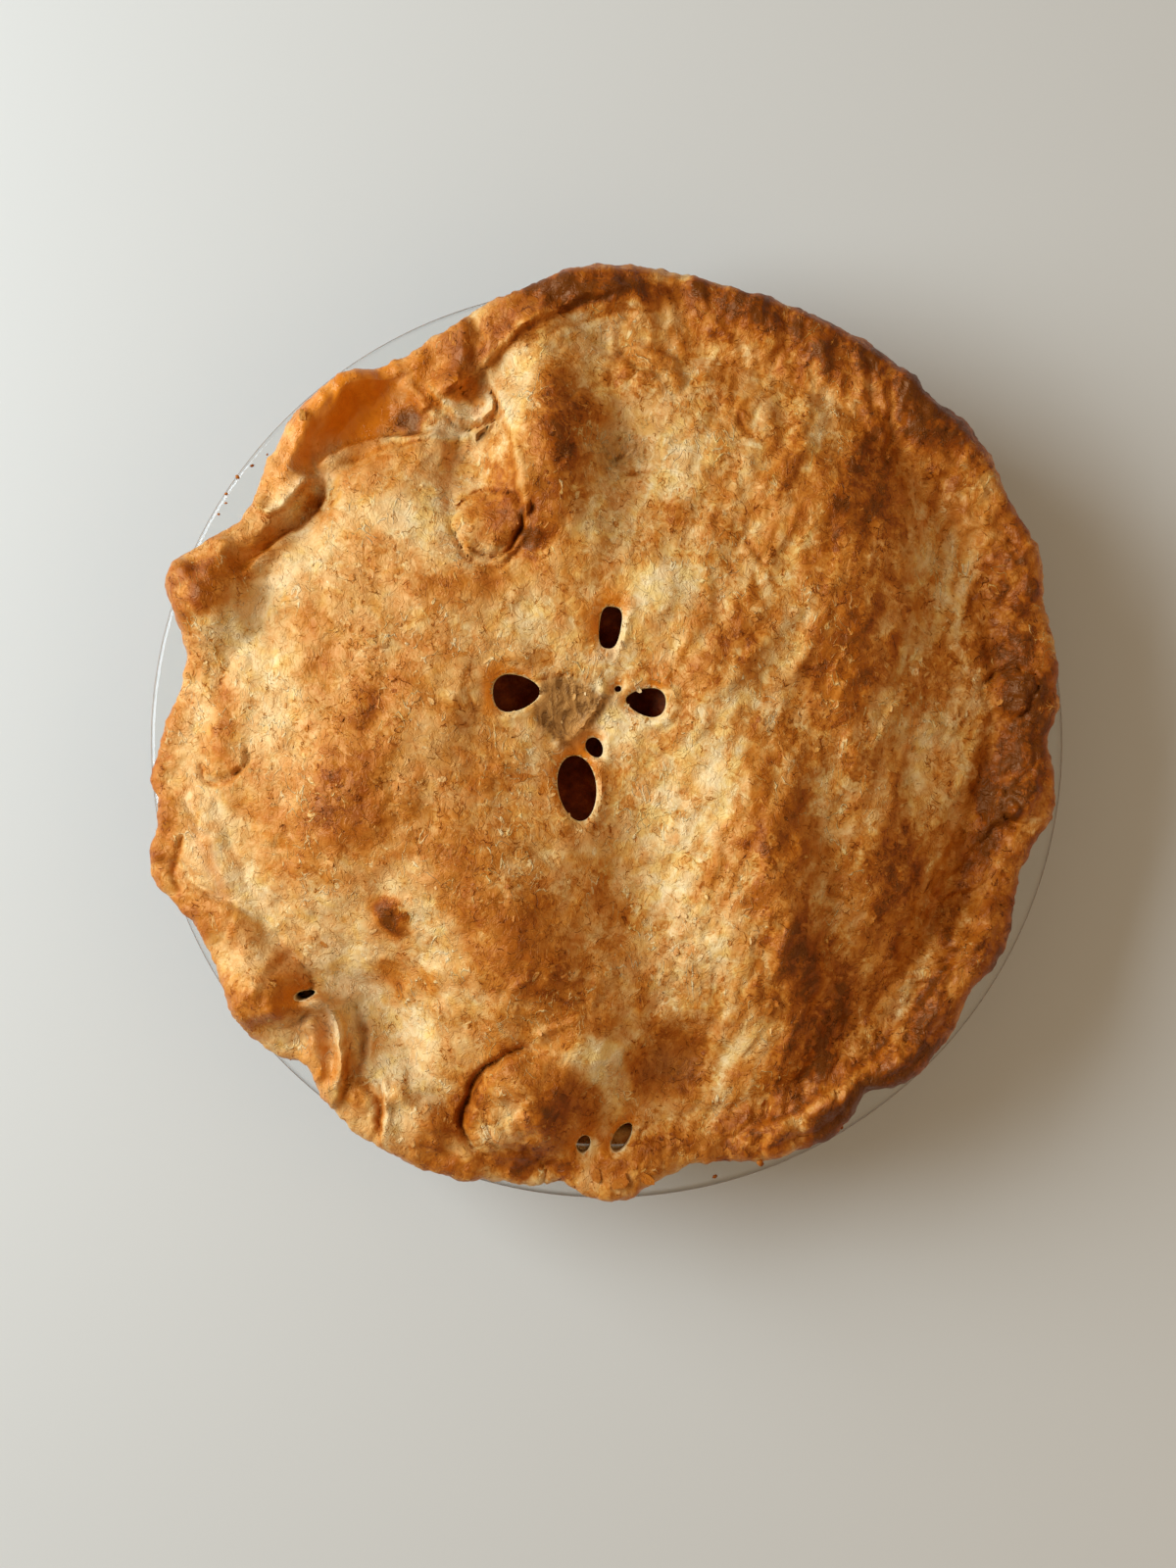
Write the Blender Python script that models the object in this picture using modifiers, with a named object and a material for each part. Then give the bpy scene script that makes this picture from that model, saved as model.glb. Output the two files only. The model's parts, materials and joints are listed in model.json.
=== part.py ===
"""A home-baked double-crust apple pie in its clear glass pie dish. Metres, +Z up.

The origin is the centre of the dish's underside. The pie is four separate pieces: the glass dish, the
pastry case that lines it, the apple filling, and the domed pastry lid, whose pinched rim lies on the
dish's flange and hangs over it in places. The lid is uneven: folds, mounds over the apple, blisters,
steam slits and a few tears, each given below by its place, size and rise.
"""

import math
from collections import namedtuple

import bmesh
import bpy
import numpy as np
from mathutils import Vector, noise

# Glass dish
DISH_RADIUS = 0.1225
DISH_HEIGHT = 0.036
BASE_RADIUS = 0.085
GLASS = 0.0042
FLANGE_THICKNESS = 0.0032
WALL_LEAN = 30.0
HEEL_RADIUS = 0.009
THROAT_RADIUS = 0.004
TURN_STEPS = 60

# Pastry case and filling
GLASS_GAP = 0.0003
PASTRY_GAP = 0.0005
CASE_THICKNESS = 0.0036
CASE_TOP = DISH_HEIGHT
CASE_ROUNDING = 0.0012
FILLING_RADIUS = 0.1025

# Pastry lid
LID_THICKNESS = 0.0046
LID_LEAST = 0.0022
CRUST_REACH = 0.1195
SEAM_RADIUS = 0.1020
SEAM_HEIGHT = 0.0425
DOME_RISE = 0.0160
DOME_FULLNESS = 3.2
DOME_SHOULDER = 0.85
RIM_RISE = 0.0024
RIM_CREST = 0.58
RIM_FALL = 0.22
LIP = 0.0042
UNDERSIDE = DISH_HEIGHT + PASTRY_GAP
UNDERSIDE_INSET = 0.0015
ARCH_RUN = 0.014
CRUMPLE = 0.0007
CRUMPLE_SIZE = 0.013

# Mesh density of the lid: rings from the middle to the edge, and those that go round the edge
TOP_RINGS = 28
EDGE_RINGS = 5
UNDER_RINGS = 12
FILLING_RINGS = 9
RING_CROWDING = 1.15

# Lobes change a radius or a height round the pie: degrees from +X, spread in degrees, amount in metres
Lobe = namedtuple("Lobe", "angle spread amount")

OUTLINE_LOBES = [
    Lobe(56, 34, 0.0072),
    Lobe(86, 9, 0.0030),
    Lobe(93, 8, 0.0030),
    Lobe(46, 2.5, -0.0016),
    Lobe(38, 9, 0.0030),
    Lobe(24, 4, 0.0030),
    Lobe(3, 3, 0.0020),
    Lobe(12, 4, 0.0010),
    Lobe(1, 4, -0.0036),
    Lobe(118, 8, -0.0040),
    Lobe(126, 4, 0.0024),
    Lobe(147, 7, -0.0062),
    Lobe(159, 4.6, 0.0058),
    Lobe(170, 7, -0.0060),
    Lobe(184.5, 2.6, 0.0030),
    Lobe(196, 5, 0.0076),
    Lobe(218, 6, 0.0030),
    Lobe(227.5, 2.4, -0.0040),
    Lobe(241, 11, 0.0046),
    Lobe(252, 4, 0.0016),
    Lobe(264, 2, -0.0024),
    Lobe(271, 4.5, 0.0030),
    Lobe(282, 6, -0.0048),
    Lobe(299, 4, 0.0012),
    Lobe(306, 3, -0.0042),
    Lobe(314, 4, 0.0010),
    Lobe(325, 4, -0.0026),
    Lobe(342, 7, -0.0040),
    Lobe(351, 3, 0.0012),
]

SEAM_LOBES = [
    Lobe(52, 34, 0.0050),
    Lobe(117, 10, -0.0110),
    Lobe(146, 8, -0.0050),
    Lobe(161, 5, -0.0060),
    Lobe(183, 10, 0.0030),
    Lobe(228, 9, -0.0120),
    Lobe(259, 7, -0.0040),
    Lobe(318, 20, -0.0030),
    Lobe(350, 12, -0.0030),
]

RIM_LOBES = [
    Lobe(60, 50, 0.0008),
    Lobe(160, 6, 0.0048),
    Lobe(148, 6, -0.0018),
    Lobe(190, 22, -0.0018),
    Lobe(216, 6, 0.0050),
    Lobe(244, 12, -0.0010),
    Lobe(262, 8, -0.0020),
    Lobe(320, 26, 0.0014),
    Lobe(302, 4, 0.0020),
    Lobe(24, 5, 0.0018),
    Lobe(9, 4, 0.0022),
    Lobe(352, 4, 0.0020),
    Lobe(92, 10, 0.0014),
]

# Mounds and hollows of the lid: middle, full length and width, turn in degrees, rise in metres
Mound = namedtuple("Mound", "x y length width turn rise")

MOUNDS = [
    Mound(-0.070, -0.017, 0.044, 0.034, 70, 0.0070),
    Mound(-0.072, 0.040, 0.062, 0.040, 30, 0.0022),
    Mound(-0.030, -0.045, 0.078, 0.038, -62, 0.0076),
    Mound(-0.048, -0.097, 0.034, 0.024, -50, 0.0052),
    Mound(-0.060, -0.073, 0.038, 0.022, -60, -0.0048),
    Mound(-0.015, 0.080, 0.060, 0.023, -82, 0.0092),
    Mound(0.004, 0.076, 0.034, 0.018, -78, -0.0066),
    Mound(-0.036, 0.078, 0.044, 0.016, 72, -0.0038),
    Mound(-0.010, 0.008, 0.040, 0.034, 0, -0.0028),
    Mound(0.009, -0.040, 0.076, 0.028, -85, -0.0064),
    Mound(0.044, -0.040, 0.086, 0.032, -80, 0.0078),
    Mound(0.058, -0.036, 0.060, 0.014, -85, -0.0034),
    Mound(0.071, -0.042, 0.050, 0.018, -85, 0.0034),
    Mound(0.052, 0.072, 0.052, 0.032, 75, 0.0038),
    Mound(0.067, 0.040, 0.104, 0.034, 80, 0.0058),
    Mound(0.087, 0.040, 0.084, 0.018, 84, -0.0044),
    Mound(0.094, -0.034, 0.036, 0.018, 70, -0.0046),
    Mound(0.018, -0.086, 0.034, 0.026, 20, -0.0070),
    Mound(-0.003, -0.081, 0.024, 0.018, 0, 0.0034),
    Mound(0.044, -0.088, 0.036, 0.018, 30, 0.0030),
    Mound(0.030, 0.021, 0.040, 0.022, 62, 0.0032),
    Mound(-0.063, 0.086, 0.044, 0.018, 32, -0.0066),
    Mound(-0.079, 0.060, 0.028, 0.010, 44, -0.0040),
    Mound(0.092, -0.062, 0.050, 0.010, 52, 0.0014),
    Mound(-0.098, -0.012, 0.060, 0.014, 88, -0.0018),
    Mound(-0.044, 0.010, 0.034, 0.024, 20, 0.0020),
    Mound(-0.106, 0.039, 0.022, 0.020, 0, 0.0044),
    Mound(-0.040, 0.040, 0.036, 0.020, 0, 0.0016),
    Mound(0.014, 0.040, 0.030, 0.024, 20, 0.0014),
]

# Blisters stand up as domes: middle, length, width, turn, rise, the depth of the crease round the part
# of the edge that faces one way, that way in degrees, and how far the crease reaches to either side of it
Blister = namedtuple("Blister", "x y length width turn rise crease facing reach")

BLISTERS = [
    Blister(-0.0195, -0.0970, 0.0370, 0.0320, 25, 0.0108, 0.0026, 160, 62),
    Blister(-0.0305, 0.0570, 0.0200, 0.0176, 20, 0.0030, 0.0010, 300, 120),
    Blister(-0.1020, -0.0030, 0.0150, 0.0160, 0, 0.0012, 0.0011, 292, 72),
    Blister(-0.0560, -0.0455, 0.0130, 0.0090, -60, 0.0014, 0.0004, 250, 80),
    Blister(0.1065, 0.0130, 0.0135, 0.0120, 30, 0.0026, 0.0012, 40, 120),
    Blister(-0.0900, -0.0650, 0.0240, 0.0215, -30, 0.0056, 0.0007, 350, 60),
    Blister(0.0115, 0.0965, 0.0200, 0.0160, -15, 0.0012, 0.0008, 60, 100),
    Blister(-0.0030, 0.0880, 0.0120, 0.0110, 0, 0.0020, 0.0004, 180, 50),
    Blister(0.1110, -0.0150, 0.0130, 0.0100, 60, 0.0020, 0.0012, 180, 90),
]
CREASE_WIDTH = 0.0024

# Folds are ledges along a line. The pastry to its left stands higher by the rise, or to its right where
# the rise is below zero, and comes back down over the back distance.
Fold = namedtuple("Fold", "points rise back")

FOLDS = [
    Fold(
        [(-0.096, 0.044), (-0.090, 0.0495), (-0.081, 0.0565), (-0.0745, 0.0640), (-0.076, 0.0710)],
        -0.0034, 0.010,
    ),
    Fold(
        [(-0.077, 0.072), (-0.0705, 0.0785), (-0.060, 0.0812), (-0.050, 0.0812), (-0.040, 0.0816)],
        -0.0042, 0.010,
    ),
    Fold(
        [(-0.020, 0.050), (-0.022, 0.062), (-0.024, 0.074), (-0.028, 0.088), (-0.033, 0.101)],
        -0.0028, 0.009,
    ),
    Fold(
        [(-0.048, 0.096), (-0.0455, 0.0885), (-0.042, 0.0855), (-0.034, 0.0850), (-0.0300, 0.091)],
        0.0040, 0.010,
    ),
    Fold(
        [(-0.081, -0.068), (-0.0735, -0.0675), (-0.0685, -0.0750), (-0.0685, -0.086), (-0.072, -0.098)],
        -0.0028, 0.007,
    ),
    Fold([(-0.0585, -0.089), (-0.0597, -0.097), (-0.0595, -0.108)], 0.0032, 0.008),
    Fold(
        [(0.038, -0.103), (0.054, -0.095), (0.070, -0.083), (0.084, -0.068), (0.096, -0.050)],
        -0.0026, 0.008,
    ),
    Fold(
        [(-0.044, 0.0915), (-0.037, 0.0945), (-0.030, 0.100),
         (-0.020, 0.110), (-0.008, 0.116), (0.006, 0.1185)],
        0.0028, 0.009,
    ),
    Fold(
        [(0.0990, 0.078), (0.0945, 0.064), (0.0985, 0.050), (0.0950, 0.038), (0.0985, 0.022)],
        -0.0014, 0.006,
    ),
]
FOLD_SLOPE = 0.0055
FOLD_FADE = 0.2

# Ridges are raised lines: points, height, half-width, and how much wider the left side is than the right
Ridge = namedtuple("Ridge", "points rise width lean")

RIDGES = [
    Ridge(
        [(-0.107, 0.044), (-0.0965, 0.0530), (-0.0880, 0.0590), (-0.0825, 0.0645), (-0.0780, 0.0710)],
        0.0046, 0.0040, 0.15,
    ),
    Ridge(
        [(-0.0885, 0.0640), (-0.0825, 0.0775), (-0.0780, 0.0830),
         (-0.0710, 0.0916), (-0.0640, 0.0966), (-0.0530, 0.1000)],
        0.0050, 0.0042, 0.2,
    ),
    Ridge(
        [(-0.1190, -0.012), (-0.1145, -0.0200), (-0.1095, -0.0315),
         (-0.1030, -0.0470), (-0.0970, -0.0600)],
        0.0036, 0.0032, 0.2,
    ),
    Ridge([(0.059, 0.050), (0.066, 0.072), (0.070, 0.088)], 0.0010, 0.0030, 0.0),
    Ridge([(0.094, 0.070), (0.098, 0.050), (0.0985, 0.030), (0.0960, 0.010)], 0.0018, 0.0030, -0.2),
    Ridge(
        [(0.104, -0.036), (0.098, -0.058), (0.085, -0.076),
         (0.068, -0.091), (0.048, -0.103), (0.032, -0.108)],
        0.0026, 0.0032, 0.0,
    ),
    Ridge([(0.092, -0.044), (0.082, -0.060), (0.067, -0.076), (0.050, -0.088)], 0.0018, 0.0028, 0.2),
    Ridge([(0.077, -0.030), (0.078, -0.046), (0.073, -0.060)], 0.0016, 0.0032, 0.2),
    Ridge([(0.062, -0.026), (0.063, -0.044), (0.060, -0.060)], 0.0012, 0.0028, 0.1),
    Ridge([(0.044, -0.012), (0.041, -0.032), (0.044, -0.052), (0.050, -0.066)], 0.0018, 0.0040, 0.3),
]
RIDGE_FADE = 0.25

# Openings right through the lid: middle, length, width, turn in degrees
Opening = namedtuple("Opening", "name x y length width turn")

OPENINGS = [
    Opening("slit_north", 0.0007, 0.0292, 0.0110, 0.0056, 82),
    Opening("slit_west", -0.0236, 0.0124, 0.0122, 0.0094, 4),
    Opening("slit_east", 0.0100, 0.0100, 0.0104, 0.0072, -8),
    Opening("slit_south", -0.0078, -0.0124, 0.0172, 0.0100, -82),
    Opening("slit_south_small", -0.0033, -0.0018, 0.0056, 0.0042, -60),
    Opening("tear_south", 0.0040, -0.1052, 0.0086, 0.0042, 58),
    Opening("tear_south_west", -0.0062, -0.1068, 0.0052, 0.0036, 75),
    Opening("tear_west", -0.0795, -0.0668, 0.0054, 0.0032, 14),
]
OPENING_SIDES = 16
CUTTER_LOW = UNDERSIDE - 0.004
CUTTER_HIGH = 0.080
WELL_DEPTH = 0.0050
WELL_SPREAD = 0.030
WELL_MIDDLE = (-0.006, 0.008)


def clear_scene():
    for obj in list(bpy.data.objects):
        bpy.data.objects.remove(obj, do_unlink=True)
    for collection in list(bpy.data.collections):
        bpy.data.collections.remove(collection)


def new_collection(name):
    collection = bpy.data.collections.new(name)
    bpy.context.scene.collection.children.link(collection)
    return collection


def new_material(name, colour, roughness, transmission=0.0):
    material = bpy.data.materials.new(name)
    material.use_nodes = True
    shader = material.node_tree.nodes["Principled BSDF"]
    shader.inputs["Base Color"].default_value = (*colour, 1.0)
    shader.inputs["Roughness"].default_value = roughness
    shader.inputs["Metallic"].default_value = 0.0
    shader.inputs["Transmission Weight"].default_value = transmission
    return material


def new_object(name, bm, collection, material=None, smooth=None):
    """An object from a bmesh, which is freed. Faces that meet under the angle smooth are shaded smooth."""
    mesh = bpy.data.meshes.new(name)
    bm.to_mesh(mesh)
    bm.free()
    obj = bpy.data.objects.new(name, mesh)
    collection.objects.link(obj)
    if material:
        mesh.materials.append(material)
    if smooth:
        mesh.shade_smooth()
        mesh.set_sharp_from_angle(angle=math.radians(smooth))
    return obj


def smoothstep(low, high, value):
    share = np.clip((value - low) / (high - low), 0.0, 1.0)
    return share * share * (3.0 - 2.0 * share)


def with_lobes(base, lobes, angle):
    """A base value, changed round the pie by each lobe."""
    total = np.full_like(angle, base)
    for lobe in lobes:
        away = (np.degrees(angle) - lobe.angle + 180.0) % 360.0 - 180.0
        total += lobe.amount * np.exp(-((away / lobe.spread) ** 2))
    return total


def outline_radius(angle):
    return with_lobes(CRUST_REACH, OUTLINE_LOBES, angle)


def seam_radius(angle):
    """Where the dome comes down to the pinched rim."""
    return with_lobes(SEAM_RADIUS, SEAM_LOBES, angle)


def dome_and_rim(x, y):
    """The lid's height with no mounds: a full dome, a shallow groove at the seam and a raised rim."""
    radius, angle = np.hypot(x, y), np.arctan2(y, x)
    seam, outline = seam_radius(angle), outline_radius(angle)
    inside = np.clip(1.0 - (radius / seam) ** DOME_FULLNESS, 0.0, 1.0)
    dome = DOME_RISE * inside**DOME_SHOULDER
    across = np.clip((radius - seam) / (outline - seam), 0.0, 1.0)
    rim = with_lobes(RIM_RISE, RIM_LOBES, angle)
    rim *= smoothstep(0.0, RIM_CREST, across) * (1.0 - RIM_FALL * smoothstep(RIM_CREST, 1.0, across))
    return SEAM_HEIGHT + dome + rim


def mound_height(x, y, mound):
    turn = math.radians(mound.turn)
    east, north = x - mound.x, y - mound.y
    along = (east * math.cos(turn) + north * math.sin(turn)) / (mound.length / 2)
    across = (north * math.cos(turn) - east * math.sin(turn)) / (mound.width / 2)
    return mound.rise * np.exp(-(along**2 + across**2))


def blister_height(x, y, blister):
    """A dome, steep and creased round the part of its edge that faces one way and soft round the rest."""
    turn = math.radians(blister.turn)
    east, north = x - blister.x, y - blister.y
    along = (east * math.cos(turn) + north * math.sin(turn)) / (blister.length / 2)
    across = (north * math.cos(turn) - east * math.sin(turn)) / (blister.width / 2)
    share = np.hypot(along, across)
    facing = np.cos(np.arctan2(north, east) - math.radians(blister.facing))
    edge = math.cos(math.radians(blister.reach))
    steep = smoothstep(edge - 0.35, min(edge + 0.35, 1.0), facing)
    body = np.clip(1.0 - share**2, 0.0, 1.0)
    dome = blister.rise * (steep * body**0.5 + (1.0 - steep) * body**1.3)
    small = min(blister.length, blister.width) / 2
    crease = blister.crease * steep * np.exp(-(((share - 1.02) * small / CREASE_WIDTH) ** 2))
    return dome - crease


def to_line(x, y, points):
    """Distance to a line of points, which side (left is positive), and how far along, 0 to 1."""
    nearest = np.full_like(x, np.inf)
    side = np.zeros_like(x)
    reach = np.zeros_like(x)
    stretches = len(points) - 1
    for i in range(stretches):
        (x0, y0), (x1, y1) = points[i], points[i + 1]
        run_x, run_y = x1 - x0, y1 - y0
        length = math.hypot(run_x, run_y)
        share = ((x - x0) * run_x + (y - y0) * run_y) / length**2
        held = np.clip(share, 0.0, 1.0)
        distance = np.hypot(x - x0 - held * run_x, y - y0 - held * run_y)
        left = (run_x * (y - y0) - run_y * (x - x0)) / length
        closer = distance < nearest
        side = np.where(closer, np.sign(left), side)
        reach = np.where(closer, (i + held) / stretches, reach)
        nearest = np.minimum(nearest, distance)
    return nearest, side, reach


def fold_height(x, y, fold):
    """A ledge that fades at both ends of its line."""
    distance, side, reach = to_line(x, y, fold.points)
    fade = smoothstep(0.0, FOLD_FADE, reach) * smoothstep(1.0, 1.0 - FOLD_FADE, reach)
    facing = side * distance * np.sign(fold.rise)
    ledge = smoothstep(-FOLD_SLOPE / 2, FOLD_SLOPE / 2, facing)
    settle = np.exp(-np.maximum(facing, 0.0) / fold.back)
    return abs(fold.rise) * ledge * settle * fade


def ridge_height(x, y, ridge):
    distance, side, reach = to_line(x, y, ridge.points)
    fade = smoothstep(0.0, RIDGE_FADE, reach) * smoothstep(1.0, 1.0 - RIDGE_FADE, reach)
    width = ridge.width * (1.0 + ridge.lean * side)
    return ridge.rise * fade * np.exp(-((distance / width) ** 2))


def crumple(x, y):
    """Small uneven waves of the rolled dough."""
    heights = [noise.fractal(Vector((a, b, 0.0)) / CRUMPLE_SIZE, 1.0, 2.0, 3) for a, b in zip(x, y)]
    return CRUMPLE * np.array(heights)


def soft_top(x, y):
    """The lid's top without its ledges, blisters and crumples."""
    height = dome_and_rim(x, y)
    for mound in MOUNDS:
        height = height + mound_height(x, y, mound)
    return height


def lid_top(x, y):
    height = soft_top(x, y) + crumple(x, y)
    for blister in BLISTERS:
        height = height + blister_height(x, y, blister)
    for fold in FOLDS:
        height = height + fold_height(x, y, fold)
    for ridge in RIDGES:
        height = height + ridge_height(x, y, ridge)
    return np.maximum(height, UNDERSIDE + LID_LEAST)


def lid_under(x, y):
    """The lid's underside: flat on the dish's flange and the case's edge, then up over the filling."""
    radius = np.hypot(x, y)
    inward = smoothstep(FILLING_RADIUS, FILLING_RADIUS - ARCH_RUN, radius)
    arch = soft_top(x, y) - LID_THICKNESS - UNDERSIDE
    return UNDERSIDE + np.maximum(arch, 0.0) * inward


def filling_top(x, y):
    """The apple fills the case up to the lid, and has sunk a little under the steam slits."""
    away = np.hypot(x - WELL_MIDDLE[0], y - WELL_MIDDLE[1]) / WELL_SPREAD
    well = WELL_DEPTH * np.exp(-(away**4))
    return lid_under(x, y) - PASTRY_GAP - well


def ring_grid(rings):
    """A square grid of rings round the middle, and for each of its points the ring and the angle."""
    bm = bmesh.new()
    bmesh.ops.create_grid(bm, x_segments=2 * rings, y_segments=2 * rings, size=1.0)
    bm.verts.ensure_lookup_table()
    square = np.array([v.co[:2] for v in bm.verts])
    u, v = square[:, 0], square[:, 1]
    ring = np.rint(np.maximum(np.abs(u), np.abs(v)) * rings)
    wide = np.abs(u) >= np.abs(v)
    safe_u, safe_v = np.where(u == 0, 1.0, u), np.where(v == 0, 1.0, v)
    east_west = np.pi / 4 * v / safe_u + np.where(u < 0, np.pi, 0.0)
    north_south = np.pi / 2 - np.pi / 4 * u / safe_v + np.where(v < 0, np.pi, 0.0)
    angle = np.where(ring == 0, 0.0, np.where(wide, east_west, north_south))
    return bm, ring, np.arctan2(np.sin(angle), np.cos(angle))


def place(bm, x, y, z):
    for vert, a, b, c in zip(bm.verts, x, y, z):
        vert.co = (a, b, c)


def boundary_edges(bm):
    return [edge for edge in bm.edges if edge.is_boundary]


def lid_top_sheet():
    """The lid's upper skin: rings out to the lip, then rings that turn under the rounded edge."""
    bm, ring, angle = ring_grid(TOP_RINGS)
    flat_rings = TOP_RINGS - EDGE_RINGS
    outline = outline_radius(angle)
    share = np.clip(ring / flat_rings, 0.0, 1.0)
    share = 1.0 - (1.0 - share) ** RING_CROWDING
    turn = np.pi * np.clip((ring - flat_rings) / EDGE_RINGS, 0.0, 1.0)
    radius = (outline - LIP) * share
    lip_height = lid_top(radius * np.cos(angle), radius * np.sin(angle))
    half = (lip_height - UNDERSIDE) / 2
    height = np.where(turn > 0, UNDERSIDE + half * (1.0 + np.cos(turn)), lip_height)
    radius = radius + LIP * np.sin(turn)
    place(bm, radius * np.cos(angle), radius * np.sin(angle), height)
    return bm


def under_radii(ring, angle):
    """Rings under the lid: even ones over the filling, then out to just inside the lip."""
    outer_rings = UNDER_RINGS - FILLING_RINGS
    outward = np.clip((ring - FILLING_RINGS) / outer_rings, 0.0, 1.0)
    inner = FILLING_RADIUS * np.clip(ring / FILLING_RINGS, 0.0, 1.0)
    return inner + outward * (outline_radius(angle) - LIP - UNDERSIDE_INSET - FILLING_RADIUS)


def lid_bmesh():
    bm = lid_top_sheet()
    under, ring, angle = ring_grid(UNDER_RINGS)
    radius = under_radii(ring, angle)
    x, y = radius * np.cos(angle), radius * np.sin(angle)
    place(under, x, y, lid_under(x, y))
    bmesh.ops.reverse_faces(under, faces=under.faces)
    sheet = bpy.data.meshes.new("under_sheet")
    under.to_mesh(sheet)
    under.free()
    bm.from_mesh(sheet)
    bpy.data.meshes.remove(sheet)
    bmesh.ops.bridge_loops(bm, edges=boundary_edges(bm))
    bmesh.ops.recalc_face_normals(bm, faces=bm.faces)
    return bm


def opening_cutter(opening, collection):
    """A straight-sided blade of the opening's rounded outline, through the lid."""
    bm = bmesh.new()
    bmesh.ops.create_circle(bm, cap_ends=True, segments=OPENING_SIDES, radius=0.5)
    bmesh.ops.scale(bm, vec=(opening.length, opening.width, 1.0), verts=bm.verts)
    up = bmesh.ops.extrude_face_region(bm, geom=bm.faces[:])["geom"]
    top = [item for item in up if isinstance(item, bmesh.types.BMVert)]
    bmesh.ops.translate(bm, vec=(0.0, 0.0, CUTTER_HIGH - CUTTER_LOW), verts=top)
    bmesh.ops.recalc_face_normals(bm, faces=bm.faces)
    obj = new_object("cutter_" + opening.name, bm, collection)
    obj.location = (opening.x, opening.y, CUTTER_LOW)
    obj.rotation_euler = (0.0, 0.0, math.radians(opening.turn))
    obj.hide_render = True
    obj.display_type = "WIRE"
    return obj


def make_lid(collection, cutters, material):
    lid = new_object("pastry_lid", lid_bmesh(), collection, material, smooth=50)
    for opening in OPENINGS:
        opening_cutter(opening, cutters)
    cut = lid.modifiers.new("openings", "BOOLEAN")
    cut.operation = "DIFFERENCE"
    cut.operand_type = "COLLECTION"
    cut.collection = cutters
    cut.solver = "EXACT"
    return lid


def filling_bmesh():
    """The filling's top follows the lid's underside; its side and floor follow the case."""
    bm, ring, angle = ring_grid(FILLING_RINGS)
    radius = FILLING_RADIUS * ring / FILLING_RINGS
    x, y = radius * np.cos(angle), radius * np.sin(angle)
    place(bm, x, y, filling_top(x, y))
    side = bowl_line(GLASS_GAP + CASE_THICKNESS + PASTRY_GAP, CASE_TOP - CASE_ROUNDING)
    for wall_radius, wall_height in side[:0:-1]:
        edge = bmesh.ops.extrude_edge_only(bm, edges=boundary_edges(bm))["geom"]
        for vert in (item for item in edge if isinstance(item, bmesh.types.BMVert)):
            direction = Vector((vert.co.x, vert.co.y)).normalized()
            vert.co = (direction.x * wall_radius, direction.y * wall_radius, wall_height)
    bmesh.ops.holes_fill(bm, edges=boundary_edges(bm), sides=0)
    bmesh.ops.recalc_face_normals(bm, faces=bm.faces)
    return bm


def arc(centre, radius, start, end, steps):
    """Points of an arc in the turned section, in degrees from the outward direction."""
    angles = [math.radians(start + (end - start) * i / steps) for i in range(steps + 1)]
    return [(centre[0] + radius * math.cos(a), centre[1] + radius * math.sin(a)) for a in angles]


def bowl_line(inset, top):
    """The dish's inner surface moved inwards: from the floor's middle, round the heel, up to a height."""
    centre = (BASE_RADIUS, GLASS + HEEL_RADIUS)
    heel = arc(centre, HEEL_RADIUS - inset, -90, -WALL_LEAN, 3)
    radius, height = heel[-1]
    rim = (radius + (top - height) * math.tan(math.radians(WALL_LEAN)), top)
    return [(0.0, GLASS + inset)] + heel + [rim]


def dish_section():
    """Closed section of the glass, from the middle of its underside round to the middle of its floor."""
    lean = math.radians(WALL_LEAN)
    under_flange = DISH_HEIGHT - FLANGE_THICKNESS
    outside = bowl_line(-GLASS, under_flange)
    half = FLANGE_THICKNESS / 2
    edge = arc((DISH_RADIUS - half, under_flange + half), half, -90, 90, 4)
    throat_height = DISH_HEIGHT - THROAT_RADIUS
    inside = bowl_line(0.0, throat_height + THROAT_RADIUS * math.sin(lean))
    throat_centre = (inside[-1][0] + THROAT_RADIUS * math.cos(lean), throat_height)
    throat = arc(throat_centre, THROAT_RADIUS, 90, 180 - WALL_LEAN, 3)
    return outside + edge + throat + inside[-2::-1]


def turned(name, section, collection, material):
    """A section in the XZ plane turned about Z. The section runs up its outer side and back inside."""
    bm = bmesh.new()
    verts = [bm.verts.new((radius, 0.0, height)) for radius, height in section[::-1]]
    for start, end in zip(verts, verts[1:]):
        bm.edges.new((start, end))
    obj = new_object(name, bm, collection, material)
    screw = obj.modifiers.new("turn", "SCREW")
    screw.axis = "Z"
    screw.steps = TURN_STEPS
    screw.render_steps = TURN_STEPS
    screw.use_merge_vertices = True
    screw.merge_threshold = 0.00001
    screw.use_smooth_shade = True
    return obj


def make_dish(collection, material):
    return turned("glass_dish", dish_section(), collection, material)


def case_section():
    """Closed section of the pastry case between the glass and the filling, flush with the flange."""
    outside = bowl_line(GLASS_GAP, CASE_TOP - CASE_ROUNDING)
    inside = bowl_line(GLASS_GAP + CASE_THICKNESS, CASE_TOP - CASE_ROUNDING)
    rim = [(outside[-1][0], CASE_TOP), (inside[-1][0] + CASE_ROUNDING, CASE_TOP)]
    return outside + rim + inside[::-1]


def make_case(collection, material):
    return turned("pastry_case", case_section(), collection, material)


def build():
    clear_scene()
    bpy.context.scene.unit_settings.system = "METRIC"
    pie = new_collection("apple_pie")
    cutters = new_collection("cutters")
    glass = new_material("clear_glass", (0.92, 0.94, 0.93), 0.03, transmission=1.0)
    baked = new_material("baked_pastry", (0.72, 0.42, 0.16), 0.45)
    pale = new_material("pale_pastry", (0.80, 0.58, 0.32), 0.60)
    apple = new_material("spiced_apple", (0.30, 0.11, 0.03), 0.25)
    make_dish(pie, glass)
    make_case(pie, pale)
    new_object("apple_filling", filling_bmesh(), pie, apple, smooth=50)
    make_lid(pie, cutters, baked)


build()
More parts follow.
